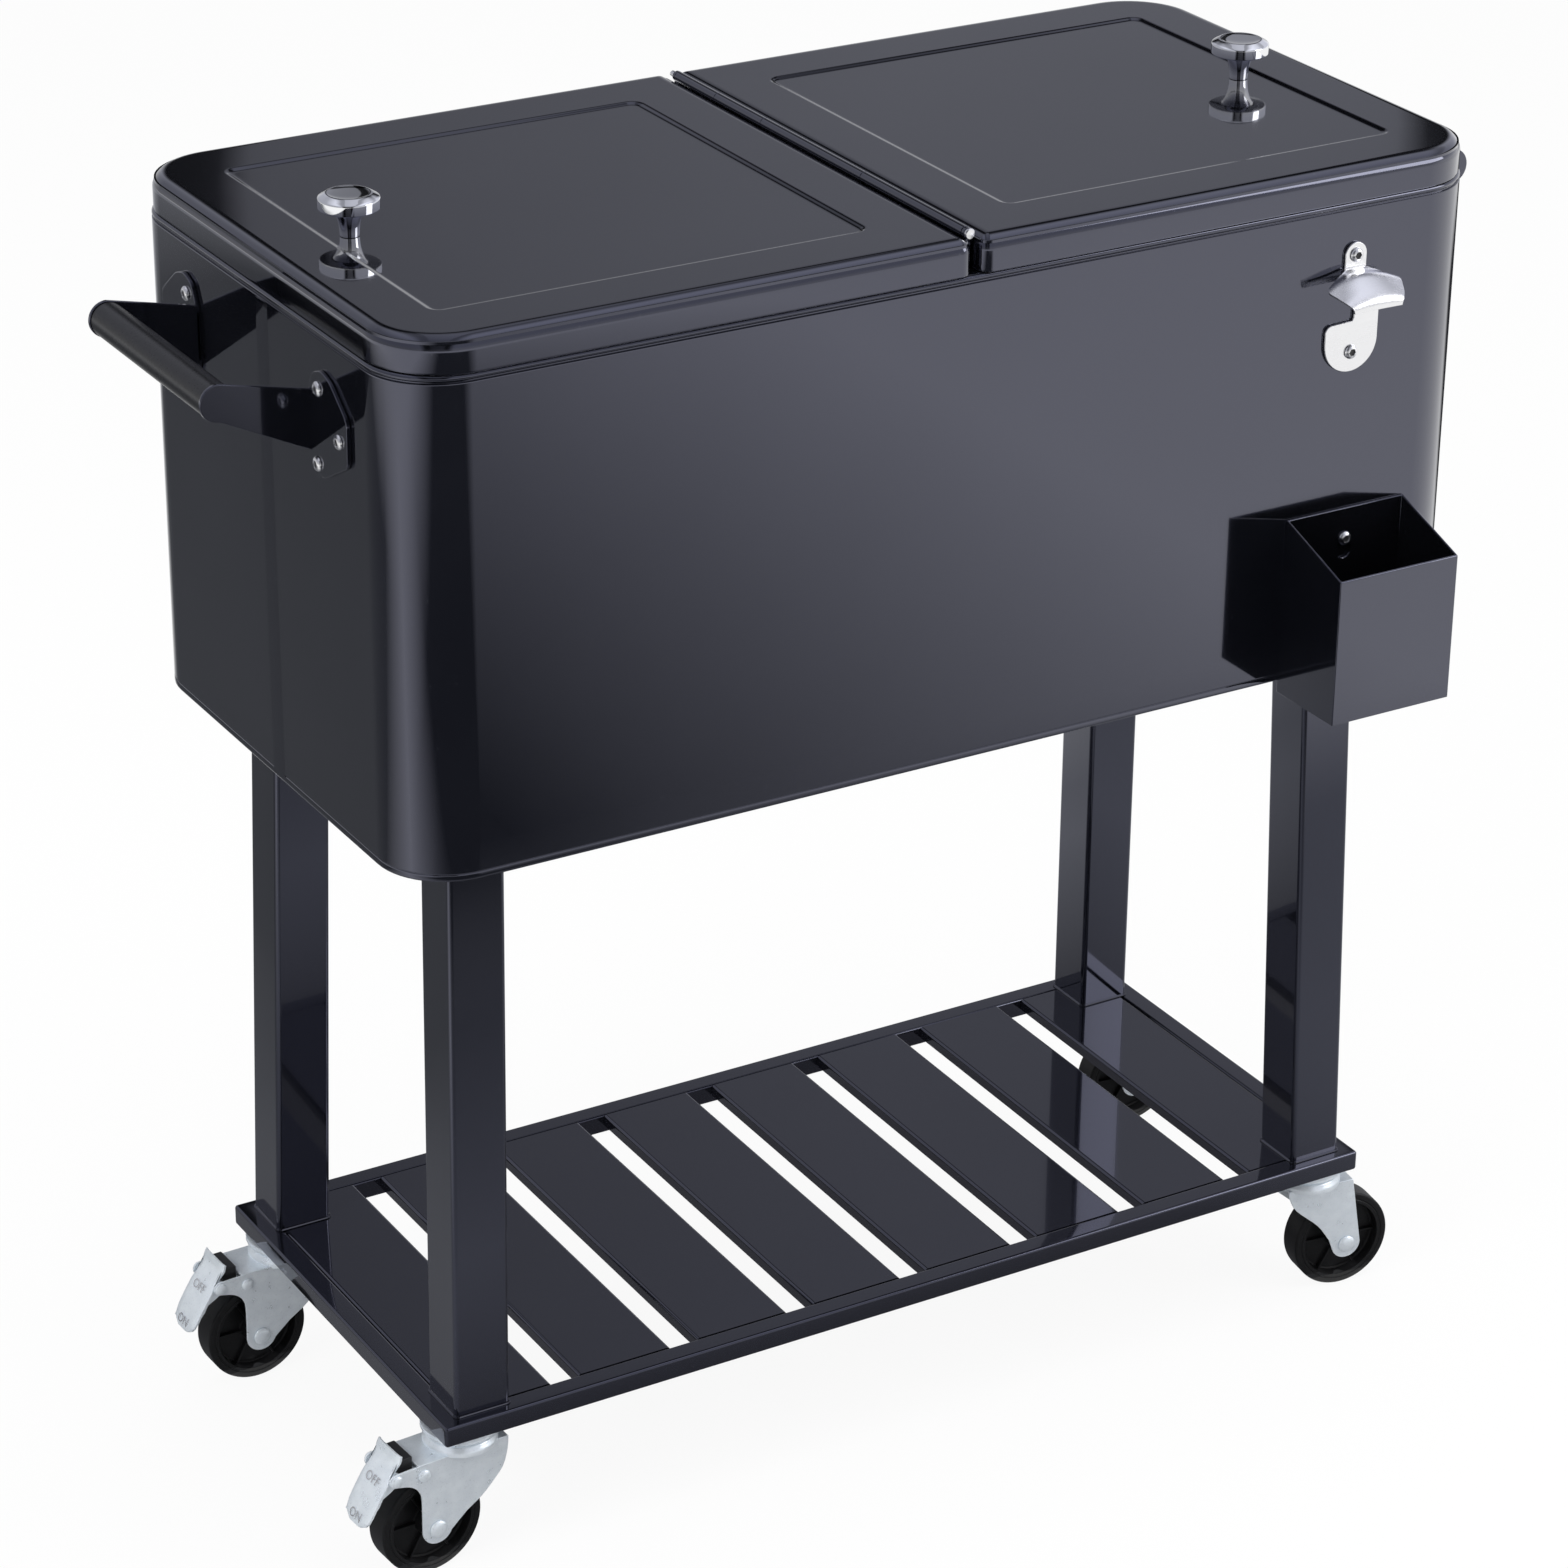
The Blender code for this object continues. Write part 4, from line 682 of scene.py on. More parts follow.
# %% Rod, knuckles and leaves
ROD_Z = 0.8355
KNUCKLE, BORE, KNUCKLE_EASE = 0.0034, 0.0023, 0.0002
LEAF_IN, LEAF_OUT, LEAF_END = 0.0012, 0.0024, 0.1702
LEAF_LOW, LEAF_HIGH, TAB_LOW = ROD_Z - 0.0200, ROD_Z - 0.0040, ROD_Z - 0.0052
LEAF_EDGE, TAB_EDGE = 0.0003, 0.0002
KNUCKLES = {"left": ((-0.05685, 0.06185), (0.12015, LEAF_END)),
            "right": ((-LEAF_END, -0.05715), (0.06215, 0.11985))}
ROD = [(NEAR_AXIS, 0.1790), (0.0017, 0.1790), (0.0020, 0.1787), (0.0020, -0.1738), (0.0030, -0.1738),
       (0.0034, -0.1742), (0.0034, -0.1752), (0.0028, -0.1758), (NEAR_AXIS, -0.1760)]
make_piece("hinge_rod_fine", [lathe(ROD, 32)], "stainless_steel", node="hinge_rod",
           place=along(0, SHIFT, ROD_Z, (0, 1, 0)))


def rounded_levels(low, high, edge):
    """(inset, level) from low to high, with a quarter circle of radius edge at each end."""
    cosine, sine = quarter(3)
    rise = [(edge - edge * c, low + edge - edge * s) for c, s in zip(cosine[::-1], sine[::-1])]
    return rise + [(edge - edge * c, high - edge + edge * s) for c, s in zip(cosine, sine)]


def block(low, high, edge):
    """A block with rounded edges: rectangles whose inset and height follow quarter circles."""
    return np.array([at_level(box_ring(low[0] + inset, high[0] - inset, low[1] + inset, high[1] - inset,
                                       max(edge * 1.2 - inset, edge * 0.25), steps=3), height)
                     for inset, height in rounded_levels(low[2], high[2], edge)]), False


for word, side in SIDES.items():
    low_x, high_x = sorted((side * LEAF_IN, side * LEAF_OUT))
    stacks = [block((low_x, SHIFT - LEAF_END, LEAF_LOW), (high_x, SHIFT + LEAF_END, LEAF_HIGH), LEAF_EDGE)]
    for start, end in KNUCKLES[word]:
        profile = [(BORE, start), (KNUCKLE - KNUCKLE_EASE, start), (KNUCKLE, start + KNUCKLE_EASE),
                   (KNUCKLE, end - KNUCKLE_EASE), (KNUCKLE - KNUCKLE_EASE, end), (BORE, end)]
        tube, loop = lathe(profile, 32, True)
        stacks.append((np.stack([tube[..., 0], tube[..., 2] + SHIFT, ROD_Z - tube[..., 1]], axis=-1), loop))
        stacks.append(block((low_x, SHIFT + start, TAB_LOW), (high_x, SHIFT + end, ROD_Z - BORE), TAB_EDGE))
    make_piece(f"{word}_hinge_leaf_fine", stacks, "black_paint", f"{word}_lid", f"{word}_lid_hinge_leaf")

# %% [markdown]
# ## Plates
# Brackets, opener, fork cheeks and pedals are cut from sheet. A plate is an outline with a
# thickness. Its corners are eased first, then the outline is stepped inwards near both faces, which
# rounds the cut edge so that it catches light as a real one does.

# %% Outlines with a thickness
MOST_CUT = 0.45


def unit(vectors):
    """Vectors with a length of 1."""
    return vectors / np.maximum(np.linalg.norm(vectors, axis=-1, keepdims=True), 1e-9)


def eased(points, cut, steps):
    """Corners replaced by quadratic curves that start and end `cut` from it, 0.45 of an edge at most."""
    points = np.asarray(points, dtype=float)
    ends = []
    for step in (1, -1):
        edge = np.roll(points, step, axis=0) - points
        length = np.linalg.norm(edge, axis=1, keepdims=True)
        ends.append((points + edge / length * np.minimum(cut, length * MOST_CUT))[:, None])
    t = np.linspace(0, 1, steps + 1)[None, :, None]
    curve = ends[0] * (1 - t) ** 2 + points[:, None] * 2 * t * (1 - t) + ends[1] * t ** 2
    return curve.reshape(-1, 2)


def stepped_in(points, distance):
    """Every point moved inwards along the mean normal of its two edges."""
    ahead = unit(np.roll(points, -1, axis=0) - np.roll(points, 1, axis=0))
    x, y = points[:, 0], points[:, 1]
    area = np.sum(x * np.roll(y, -1) - np.roll(x, -1) * y)
    inward = np.stack([-ahead[:, 1], ahead[:, 0]], axis=-1) * (1 if area > 0 else -1)
    return points + inward * distance


def plate(outline, one, other, facing, edge):
    """A sheet between two levels along the axis `facing`, its cut edges rounded by `edge`."""
    outline = np.asarray(outline, dtype=float)
    return np.array([at_level(stepped_in(outline, inset), level, "XYZ".index(facing))
                     for inset, level in rounded_levels(*sorted((one, other)), edge)]), False


print("plate helpers ready")

# %% [markdown]
# ## End handles
# At each end two bent brackets hold a round grip. A bracket is one plate: an arm that stands out
# with a round end, and a flange on the wall with three screws. The handles sit 5 mm behind the
# middle of the chest, as measured in the photograph.

# %% Brackets and grips
HANDLE_Y, GRIP_Z, GRIP_OUT, GRIP = 0.005, 0.7775, 0.0587, 0.0108
SPAN, PLATE, PLATE_EDGE = 0.159, 0.0025, 0.0006
ARM_CUT, FLANGE_CUT = 0.0008, 0.004
ARM_LOW, ARM_HIGH, LOBE_RADIUS = 0.040, 0.002, 0.0115
FLANGE_LOW, FLANGE_HIGH, FLANGE_WIDE = 0.7258, 0.066, 0.050
FLANGE_SHARES = ((0.0, 0.18), (0.06, 0.09), (0.34, 0.0), (0.99, 0.27), (1.0, 0.69),
                 (0.57, 0.95), (0.34, 1.0), (0.12, 0.94), (0.0, 0.75))


def make_handle(word, side):
    """Arms are plates across Y, flanges are plates across X, both seated on the end wall."""
    wall = side * (HALF_X + GAP)
    grip_x = wall + side * GRIP_OUT
    middle = SHIFT + HANDLE_Y
    arm = [(wall, GRIP_Z - ARM_LOW), (wall, GRIP_Z - ARM_HIGH)]
    arm = eased(arm + arc(grip_x, GRIP_Z, LOBE_RADIUS, 90, 90 - side * 180, 16), ARM_CUT, 2)
    for end_word, end in ENDS.items():
        outside = middle + end * SPAN / 2
        inside = outside - end * PLATE
        flange = eased([(inside + end * a * FLANGE_WIDE, FLANGE_LOW + b * FLANGE_HIGH)
                        for a, b in FLANGE_SHARES], FLANGE_CUT, 5)
        make_piece(f"{word}_{end_word}_bracket",
                   [plate(arm, inside, outside, "Y", PLATE_EDGE),
                    plate(flange, wall, wall + side * PLATE, "X", PLATE_EDGE)],
                   "black_paint", node=f"{word}_handle_{end_word}_bracket")
    half = SPAN / 2 - PLATE - GAP
    profile = both_ways([(NEAR_AXIS, half), (GRIP - 0.0010, half), (GRIP - 0.0002, half - 0.0003),
                         (GRIP, half - 0.0010)])
    make_piece(f"{word}_grip_tube", [lathe(profile, 56)], "black_paint", node=f"{word}_handle_grip",
               place=along(grip_x, middle, GRIP_Z, (0, 1, 0)), look=grip_black)


for word, side in SIDES.items():
    make_handle(word, side)

# %% [markdown]
# ## Screws
# All screws are button heads with a hexagon socket. The head is a low dome. The last rings of the
# profile turn inwards and down as hexagons, which makes the socket. A black plug in its floor is
# painted shade, so that the socket reads as a dark dot. The twelve in the handle brackets have no
# CAD node, and the three at the front replace plainer ones.

# %% Fifteen button-head screws
HEAD_RADIUS, HEAD_HEIGHT, HEAD_BASE, SHANK = 0.0046, 0.0024, 0.0002, 0.0022
BRACKET_SCREW, BRACKET_SEAT = 0.0024, 0.0001
BRACKET_SCREWS = ((0.0903, 0.7796), (0.1165, 0.7564), (0.0880, 0.7334))
FRONT = SHIFT - HALF_Y
OPENER_X, CATCHER_X = 0.274, 0.2788
FRONT_SCREWS = (("opener_screw_upper", OPENER_X, 0.7798, 0.0021, "opener_upper_screw"),
                ("opener_screw_lower", OPENER_X, 0.7168, 0.0021, "opener_lower_screw"),
                ("cap_catcher_screw", CATCHER_X, 0.5913, 0.0018, "catcher_screw"))
# Black plugs at the floors of the sockets: painted shade that makes each socket read as a dark dot.
SOCKET_SHADE_PLUG = [(NEAR_AXIS, 0.0008), (0.0023, 0.0008), (0.0023, 0.0013), (NEAR_AXIS, 0.0013)]


def screw_profile(length):
    """Shank, flat under the head, dome of 4.6 mm radius and 2.4 mm height, hexagon socket 1.2 mm deep."""
    dome = [(HEAD_RADIUS * math.cos(a), HEAD_BASE + HEAD_HEIGHT * math.sin(a))
            for a in np.radians(np.linspace(0, 54, 8))]
    socket = [(0.00255, 0.0022), (0.0024, 0.0020), (0.0023, 0.0010), (NEAR_AXIS, 0.0009)]
    return [(NEAR_AXIS, -length), (SHANK, -length), (SHANK, 0.0), (0.0044, 0.0)] + dome + socket


def make_screws(name, spots, outward, length, node=None):
    """Equal screws at some spots, heads facing outward, after the painted shade plugs in their sockets."""
    for piece, profile, slot, stands_for in (
            (name + "_socket_floors", SOCKET_SHADE_PLUG, "black_plastic", None),
            (name, screw_profile(length), "stainless_steel", node)):
        rings, loop = lathe(profile, 36, hexed=4)
        make_piece(piece, [(moved(rings, along(*spot, outward)), loop) for spot in spots], slot,
                   node=stands_for)


for word, side in SIDES.items():
    wall = side * (HALF_X + GAP + PLATE + BRACKET_SEAT)
    for end_word, end in ENDS.items():
        spots = [(wall, SHIFT + HANDLE_Y + end * off, height) for off, height in BRACKET_SCREWS]
        make_screws(f"{word}_{end_word}_bracket_screws", spots, (side, 0, 0), BRACKET_SCREW)
for name, x, z, length, node in FRONT_SCREWS:
    make_screws(name, [(x, FRONT - length - GAP, z)], (0, -1, 0), length, node)

# %% [markdown]
# ## Bottle opener
# The opener is stamped from one bright sheet. A tab with the upper screw and a plate with a round
# lower end are joined by a neck behind the hood, which bulges out to hook over a cap. The hood is a
# surface of two parameters: rows from the root to the lip, and columns across, which bow upwards in
# the middle as 1 - c squared.

# %% Plate and hood of the opener
OPENER_BACK, OPENER_SHEET, OPENER_EDGE = FRONT - GAP, 0.0018, 0.0005
OPENER_LOW, OPENER_HIGH, TAB, ROUND_END, NOTCH = 0.7036, 0.7878, 0.008, 0.0199, 0.005
HOOD_WIDE, HOOD_REACH, HOOD_FALL, HOOD_Z, HOOD_HALF_SHEET = 0.030, 0.0235, 0.028, 0.7705, 0.0008
HOOD_ROWS = ((0.28, 0.05, 0.00, 0.00), (0.58, 0.20, 0.14, 0.11), (0.88, 0.42, 0.27, 0.21),
             (0.82, 0.70, 0.36, 0.16), (0.72, 0.95, 0.45, 0.10), (0.63, 1.08, 0.54, 0.05),
             (0.59, 1.10, 0.65, 0.01))
outline = arc(0, OPENER_LOW + ROUND_END, ROUND_END, 180, 360, 26)
outline += [(ROUND_END, 0.7440), (ROUND_END - 0.0012, 0.7465), (ROUND_END - 0.0040, 0.7478),
            (TAB + 0.0020, 0.7482), (TAB, 0.7505)]
outline += arc(0, OPENER_HIGH - TAB, TAB, 0, 180, 18)
outline += [(-TAB, 0.7640), (0.0012 - TAB, 0.7624), (0.0002, 0.7612), (0.0012, 0.7600), (0.0012, 0.7385),
            (0.0002, 0.7368)]
outline += arc(NOTCH - ROUND_END, 0.7361 - NOTCH, NOTCH, 102, 180, 6)
outline = np.array(outline) + (OPENER_X, 0)
opener_plate = plate(outline, OPENER_BACK - OPENER_SHEET, OPENER_BACK, "Y", OPENER_EDGE)
half, reach, drop, bow = smooth_line(HOOD_ROWS, 5).T[:, :, None]
across = np.linspace(-1, 1, 33)[None, :]
hood = np.stack([OPENER_X + HOOD_WIDE * half * across,
                 OPENER_BACK - OPENER_SHEET / 2 - HOOD_REACH * reach + 0 * across,
                 HOOD_Z - HOOD_FALL * drop + bow * HOOD_FALL * (1 - across ** 2)], axis=-1)
skin = HOOD_HALF_SHEET * unit(np.cross(np.gradient(hood, axis=0), np.gradient(hood, axis=1)))
hood_rings = np.concatenate([hood + skin, (hood - skin)[:, ::-1]], axis=1)
make_piece("stamped_opener", [opener_plate, (hood_rings, False)], "stainless_steel", node="bottle_opener")

# %% [markdown]
# ## Pieces kept from the CAD, with eased edges
# The cap catcher and the bar across the opening have the right shape already. Only their edges are
# too sharp: a painted edge is never a knife. A copy of the node is merged, its flat faces are
# joined, and a small Bevel rounds what is left.

# %% Copies with a small bevel
SAME_CORNER, FLAT_WITHIN, EASED_FROM = 0.00001, math.radians(0.5), math.radians(30.0)


def soften(node, name, width, body):
    """A copy of a CAD node with every edge over 30 degrees rounded by a width."""
    mesh = bpy.data.objects[node].data.copy()
    mesh.name = name
    work = bmesh.new()
    work.from_mesh(mesh)
    bmesh.ops.remove_doubles(work, verts=work.verts, dist=SAME_CORNER)
    bmesh.ops.dissolve_limit(work, angle_limit=FLAT_WITHIN, verts=work.verts, edges=work.edges)
    work.to_mesh(mesh)
    work.free()
    made = place_piece(name, mesh, node_slots[node], body, node)
    rounding = made.modifiers.new("eased_edges", "BEVEL")
    rounding.width = width
    rounding.segments = 2
    rounding.limit_method = "ANGLE"
    rounding.angle_limit = EASED_FROM
    made.modifiers.move(len(made.modifiers) - 1, 0)


soften("cap_catcher", "folded_cap_catcher", 0.0008, "catcher")
soften("centre_bar", "bar_across_opening", 0.0005, "chest")

# %% [markdown]
# ## Legs and welds
# The legs are 38 mm square tubes that lean in both ways as they rise. A rounded square is carried
# from foot to top. Round each foot and each head runs a thin weld, seen as a light bead. Its
# section swells and shrinks along the path, as overlapping weld pools do.

# %% Four legs with their welds
LEG_HALF, LEG_ROUND = 0.019, 0.0032
SHELF_TOP = 0.1125
LEG_FOOT, LEG_HEAD = SHELF_TOP + GAP, BASE - GAP
FOOT_X, FOOT_Y = 0.318, 0.129
LEG_IN_X, LEG_IN_Y = 0.0083, 0.0098
WELD, WELD_SWELL, WELD_WAVES, WELD_SINK, WELD_SIDES = 0.0011, 0.22, 30, -0.0002, 8
CORNERS = {f"{end_word}_{word}": (side, end)
           for word, side in SIDES.items() for end_word, end in ENDS.items()}


def leg_ring(steps):
    """The tube's square outline with rounded corners."""
    return box_ring(-LEG_HALF, LEG_HALF, -LEG_HALF, LEG_HALF, LEG_ROUND, steps=steps)


def leg_middle(side_x, side_y, height):
    """The tube's centre: the foot's place less the lean, in proportion to the height."""
    rise = (height - LEG_FOOT) / (LEG_HEAD - LEG_FOOT)
    return np.array((side_x * (FOOT_X - LEG_IN_X * rise), SHIFT + side_y * (FOOT_Y - LEG_IN_Y * rise)))


def weld(side_x, side_y, height, toward):
    """A bead round a leg: its radius is r (1 + 0.22 |sin(30 * 2 pi s)|) at share s of the path."""
    path = leg_ring(44)
    share = np.arange(len(path)) / len(path)
    swell = WELD * (1 + WELD_SWELL * np.abs(np.sin(share * WELD_WAVES * 2 * math.pi)))
    rings = []
    for angle in np.linspace(0, 2 * math.pi, WELD_SIDES, endpoint=False):
        flat = path + unit(path) * (swell * math.cos(angle))[:, None] + leg_middle(side_x, side_y, height)
        rings.append(at_level(flat, height + toward * np.maximum(swell * math.sin(angle), WELD_SINK)))
    return np.array(rings), True


for corner, sides in CORNERS.items():
    tube = np.array([at_level(leg_ring(6) + leg_middle(*sides, height), height)
                     for height in (LEG_FOOT, LEG_HEAD)])
    make_piece(f"{corner}_leg_tube", [(tube, False)], "black_paint", node=f"{corner}_leg")
    welds = [weld(*sides, LEG_FOOT, 1), weld(*sides, LEG_HEAD, -1)]
    make_piece(f"{corner}_leg_welds", welds, "black_paint")

# %% [markdown]
# ## Shelf
# The shelf's frame is a small square tube, mitred at the corners. Eight slats lie flush in it, each
# bent down along both long edges, with slots between. The frame is a closed section carried round
# the rectangle, and a slat is one bent outline carried from front to back.

# %% Frame and slats
SHELF_X, SHELF_Y = 0.348, 0.156
TUBE_WIDE, TUBE_HIGH, TUBE_ROUND = 0.015, 0.014, 0.0018
MITRE_ROUND, LEAST_MITRE = 0.0022, 0.0004
SLATS, SLOT, SHEET, FOLD, FOLD_ROUND = 8, 0.0195, 0.0012, 0.008, 0.0022
section = box_ring(0, TUBE_WIDE, SHELF_TOP - TUBE_HIGH, SHELF_TOP, TUBE_ROUND, steps=4)
frame_rings = [at_level(box_ring(inset - SHELF_X, SHELF_X - inset, inset - SHELF_Y, SHELF_Y - inset,
                                 max(MITRE_ROUND - inset, LEAST_MITRE), steps=3) + (0, SHIFT), height)
               for inset, height in section]
make_piece("mitred_shelf_frame", [(np.array(frame_rings), True)], "black_paint", node="shelf_frame")
slat_wide = (2 * SHELF_X - 2 * (TUBE_WIDE + GAP) - (SLATS - 1) * SLOT) / SLATS
half = slat_wide / 2


def slat_bend(side, radius, start, end):
    """The bend along one long edge of a slat."""
    return arc(side * (half - FOLD_ROUND), SHELF_TOP - FOLD_ROUND, radius, start, end, 7)


hem = SHELF_TOP - FOLD
slat_section = [(half, hem)] + slat_bend(1, FOLD_ROUND, 0, 90) + slat_bend(-1, FOLD_ROUND, 90, 180)
slat_section += [(-half, hem), (SHEET - half, hem)] + slat_bend(-1, FOLD_ROUND - SHEET, 180, 90)
slat_section += slat_bend(1, FOLD_ROUND - SHEET, 90, 0) + [(half - SHEET, hem)]
slat_end = SHELF_Y - TUBE_WIDE - GAP
for number in range(SLATS):
    centre = (number - (SLATS - 1) / 2) * (slat_wide + SLOT)
    rings = np.array([at_level(np.array(slat_section) + (centre, 0), SHIFT + y, axis=1)
                      for y in (-slat_end, slat_end)])
    make_piece(f"bent_slat_{number + 1}", [(rings, False)], "black_paint", node=f"shelf_slat_{number + 1}")

# %% [markdown]
# ## Casters
# Each caster has a pressed zinc fork with a ball race on top, a black wheel on a rivet, and on the
# left-hand side a brake pedal. Everything is drawn in the caster's own frame: u runs to the
# trailing side, v along the axle and z up. A matrix then turns it as it stands in the photograph.

# %% How the casters stand
CASTER_X, CASTER_Y = 0.325, 0.129
SWIVELS = {"front_left": -3.6, "back_left": -1.8, "front_right": 7.9, "back_right": 4.0}
BRAKED = ("front_left", "back_left")
TRAIL, AXLE_Z = 0.0265, 0.0354
FORK_TOP, FORK_HALF, FORK_SHEET, LOBE = 0.086, 0.0163, 0.0015, 0.0108
PIVOT_U, PIVOT_Z, EAR = 0.0549, 0.0803, 0.0048
SHOULDER = FORK_TOP - 0.0004
BRAKED_LEAD = ((0.0, 0.10), (0.03, 0.25), (0.10, 0.42), (0.24, 0.56), (0.47, 0.74), (0.75, 0.89))
PLAIN_LEAD = ((0.0, 0.08), (0.18, 0.32), (0.66, 0.63), (0.93, 0.90))
ARCH = ((0.0, 0.61), (0.12, 0.79), (0.32, 0.89), (0.58, 0.95), (1.0, 1.0))


def caster_place(corner):
    """The matrix from a caster's own frame to the world."""
    side_x, side_y = CORNERS[corner]
    turn = -SWIVELS[corner] if side_x > 0 else 180 - SWIVELS[corner]
    spot = Matrix.Translation((side_x * CASTER_X, SHIFT + side_y * CASTER_Y, 0))
    return spot @ Matrix.Rotation(math.radians(turn), 4, "Z")


def fork_outline(braked):
    """A cheek: leading edge down to the axle lobe, then the arch up to the pivot ear."""
    front, back, lead = (-0.0255, 0.0394, BRAKED_LEAD) if braked else (-0.0206, 0.0290, PLAIN_LEAD)
    run, fall = TRAIL - LOBE - front, FORK_TOP - AXLE_Z
    slope = smooth_line([(front + run * a, FORK_TOP - fall * d) for a, d in lead], 4).tolist()
    points = [(front, SHOULDER)] + slope + arc(TRAIL, AXLE_Z, LOBE, 202, 360, 18)
    if braked:
        edge, bottom = TRAIL + LOBE, PIVOT_Z - EAR
        arch = [(edge + (PIVOT_U - edge) * a, AXLE_Z + (bottom - AXLE_Z) * b) for a, b in ARCH]
        points += smooth_line([(edge, AXLE_Z + 0.001)] + arch, 4).tolist()
        points += arc(PIVOT_U, PIVOT_Z, EAR, -80, 90, 10)
    return np.array(points + [(back, SHOULDER)]), front, back


print("casters stand at", CASTER_X, CASTER_Y, "from the middle of the shelf")

# %% [markdown]
# ### Forks and mounts
# The cheeks, the crown and the race are pressed from one sheet. The race is a shallow dome with two
# rolled rings, and above it sits the plate that is fixed under the shelf.

# %% Forks
CHEEK_EDGE, CROWN_EDGE, CROWN_CUT = 0.0004, 0.0005, 0.0012
RACE = [(0.0056, 0.0848), (0.0240, 0.0848), (0.0240, 0.0870), (0.0236, 0.0882), (0.0226, 0.0894),
        (0.0225, 0.0900), (0.0218, 0.0910), (0.0196, 0.0922), (0.0176, 0.0929), (0.0140, 0.0930),
        (0.0056, 0.0930)]
MOUNT = [(NEAR_AXIS, 0.0982), (0.0244, 0.0982), (0.0250, 0.0978), (0.0250, 0.0962), (0.0246, 0.0956),
         (0.0238, 0.0954), (0.0242, 0.0948), (0.0242, 0.0940), (0.0236, 0.0933), (0.0050, 0.0933),
         (0.0050, 0.0842), (0.0080, 0.0842), (0.0079, 0.0824), (0.0066, 0.0814), (NEAR_AXIS, 0.0812)]
for corner in CORNERS:
    shape, front, back = fork_outline(corner in BRAKED)
    stacks = [plate(shape, side * FORK_HALF, side * (FORK_HALF - FORK_SHEET), "Y", CHEEK_EDGE)
              for side in (-1, 1)]
    crown = [(front, -FORK_HALF), (back, -FORK_HALF), (back, FORK_HALF), (front, FORK_HALF)]
    stacks.append(plate(eased(crown, CROWN_CUT, 3), FORK_TOP - FORK_SHEET, FORK_TOP, "Z", CROWN_EDGE))
    stacks.append(lathe(RACE, 64, True))
    make_piece(f"{corner}_pressed_fork", stacks, "zinc_plate", f"{corner}_caster", f"{corner}_fork",
               caster_place(corner))
    make_piece(f"{corner}_mount_disc", [lathe(MOUNT, 64)], "zinc_plate", node=f"{corner}_caster_mount",
               place=caster_place(corner))

# %% [markdown]
# ### Wheels and axles
# A wheel is hard plastic: a flat tread with eased shoulders and a fine groove at each side, a deep
# dish, a thin web and a hub. Ribs run from the hub to the ring on both sides of the web. The rivet
# that carries it is domed at both ends.

# %% Wheels
TREAD, WEB, HUB_HALF, RIBS, RIB_EDGE = 0.0093, 0.002, 0.0135, 6, 0.0002
RIB_LOW, RIB_HIGH = (0.0088, -0.0007, WEB - 0.0002), (0.0276, 0.0007, TREAD - 0.0046)
WHEEL_SIDE = [(0.0043, HUB_HALF), (0.0082, HUB_HALF), (0.0090, HUB_HALF - 0.0006), (0.0094, WEB + 0.0008),
              (0.0106, WEB), (0.0262, WEB), (0.0272, WEB + 0.0008), (0.0277, TREAD - 0.0006),
              (0.0282, TREAD), (0.0300, TREAD), (0.0304, TREAD - 0.0004), (0.0309, TREAD - 0.0004),
              (0.0313, TREAD), (0.0340, TREAD), (0.0348, TREAD - 0.0003), (0.0353, TREAD - 0.0010),
              (0.0354, TREAD - 0.0018)]
RIVET = [(NEAR_AXIS, 0.0193), (0.0018, 0.0192), (0.0036, 0.0189), (0.0049, 0.0184), (0.0057, 0.0178),
         (0.0061, 0.0172), (0.0060, 0.0168), (0.0048, 0.0167), (0.0040, 0.0166)]


def wheel_ribs():
    """Radial ribs: a thin block from hub to ring on each side of the web, turned in equal steps."""
    stacks = []
    rib, loop = block(RIB_LOW, RIB_HIGH, RIB_EDGE)
    for angle in 2 * math.pi * np.arange(RIBS) / RIBS:
        turned_x = rib[..., 0] * math.cos(angle) - rib[..., 1] * math.sin(angle)
        turned_y = rib[..., 0] * math.sin(angle) + rib[..., 1] * math.cos(angle)
        stacks += [(np.stack([turned_x, turned_y, side * rib[..., 2]], axis=-1), loop) for side in (-1, 1)]
    return stacks


for corner in CORNERS:
    spot = caster_place(corner) @ along(TRAIL, 0, AXLE_Z, (0, 1, 0))
    make_piece(f"{corner}_moulded_wheel", [lathe(both_ways(WHEEL_SIDE), 96, True)] + wheel_ribs(),
               "wheel_plastic", f"{corner}_roller", f"{corner}_wheel", spot)
    make_piece(f"{corner}_axle_rivet", [lathe(both_ways(RIVET), 40)], "zinc_plate", f"{corner}_caster",
               f"{corner}_axle", spot)

# %% [markdown]
# ### Brake pedals
# A pedal is a bent sheet: a tip that the toe presses, a narrow neck, and a broad tongue that hangs
# down over the wheel. Its two cheeks reach back to the pivot. A black plastic shoe sits between
# them and bears on the wheel. ON and OFF are pressed into the face, as on most such brakes.

# %% Pedals
PEDAL_HEIGHT, PEDAL_REACH, PEDAL_SHEET = 0.051, 0.027, 0.0014
PEDAL_TIP = ((-0.13, 0.31), (-0.02, 0.17), (0.29, -0.07), (0.56, -0.30), (0.76, -0.50), (0.83, -0.60))
HALF_WIDTHS = ((0.0, 0.0136), (0.08, 0.0143), (0.16, 0.0128), (0.26, 0.0126), (0.40, 0.0143),
               (0.80, 0.0143), (0.90, 0.0134), (0.96, 0.0112), (1.0, 0.0072))
CHEEK_BACK = [(0.0150, -0.0215), (0.0108, -0.0168), (0.0082, -0.0118), (0.0030, -0.0090),
              (-0.0028, -0.0052)]
PEDAL_FOLD, CHEEK_OUT, CHEEK_DEPTH, PEDAL_EAR = 0.0012, 0.0130, PEDAL_SHEET * 0.7, 0.0044
face_line = smooth_line([(PEDAL_REACH * a, PEDAL_HEIGHT * b) for a, b in PEDAL_TIP], 6)
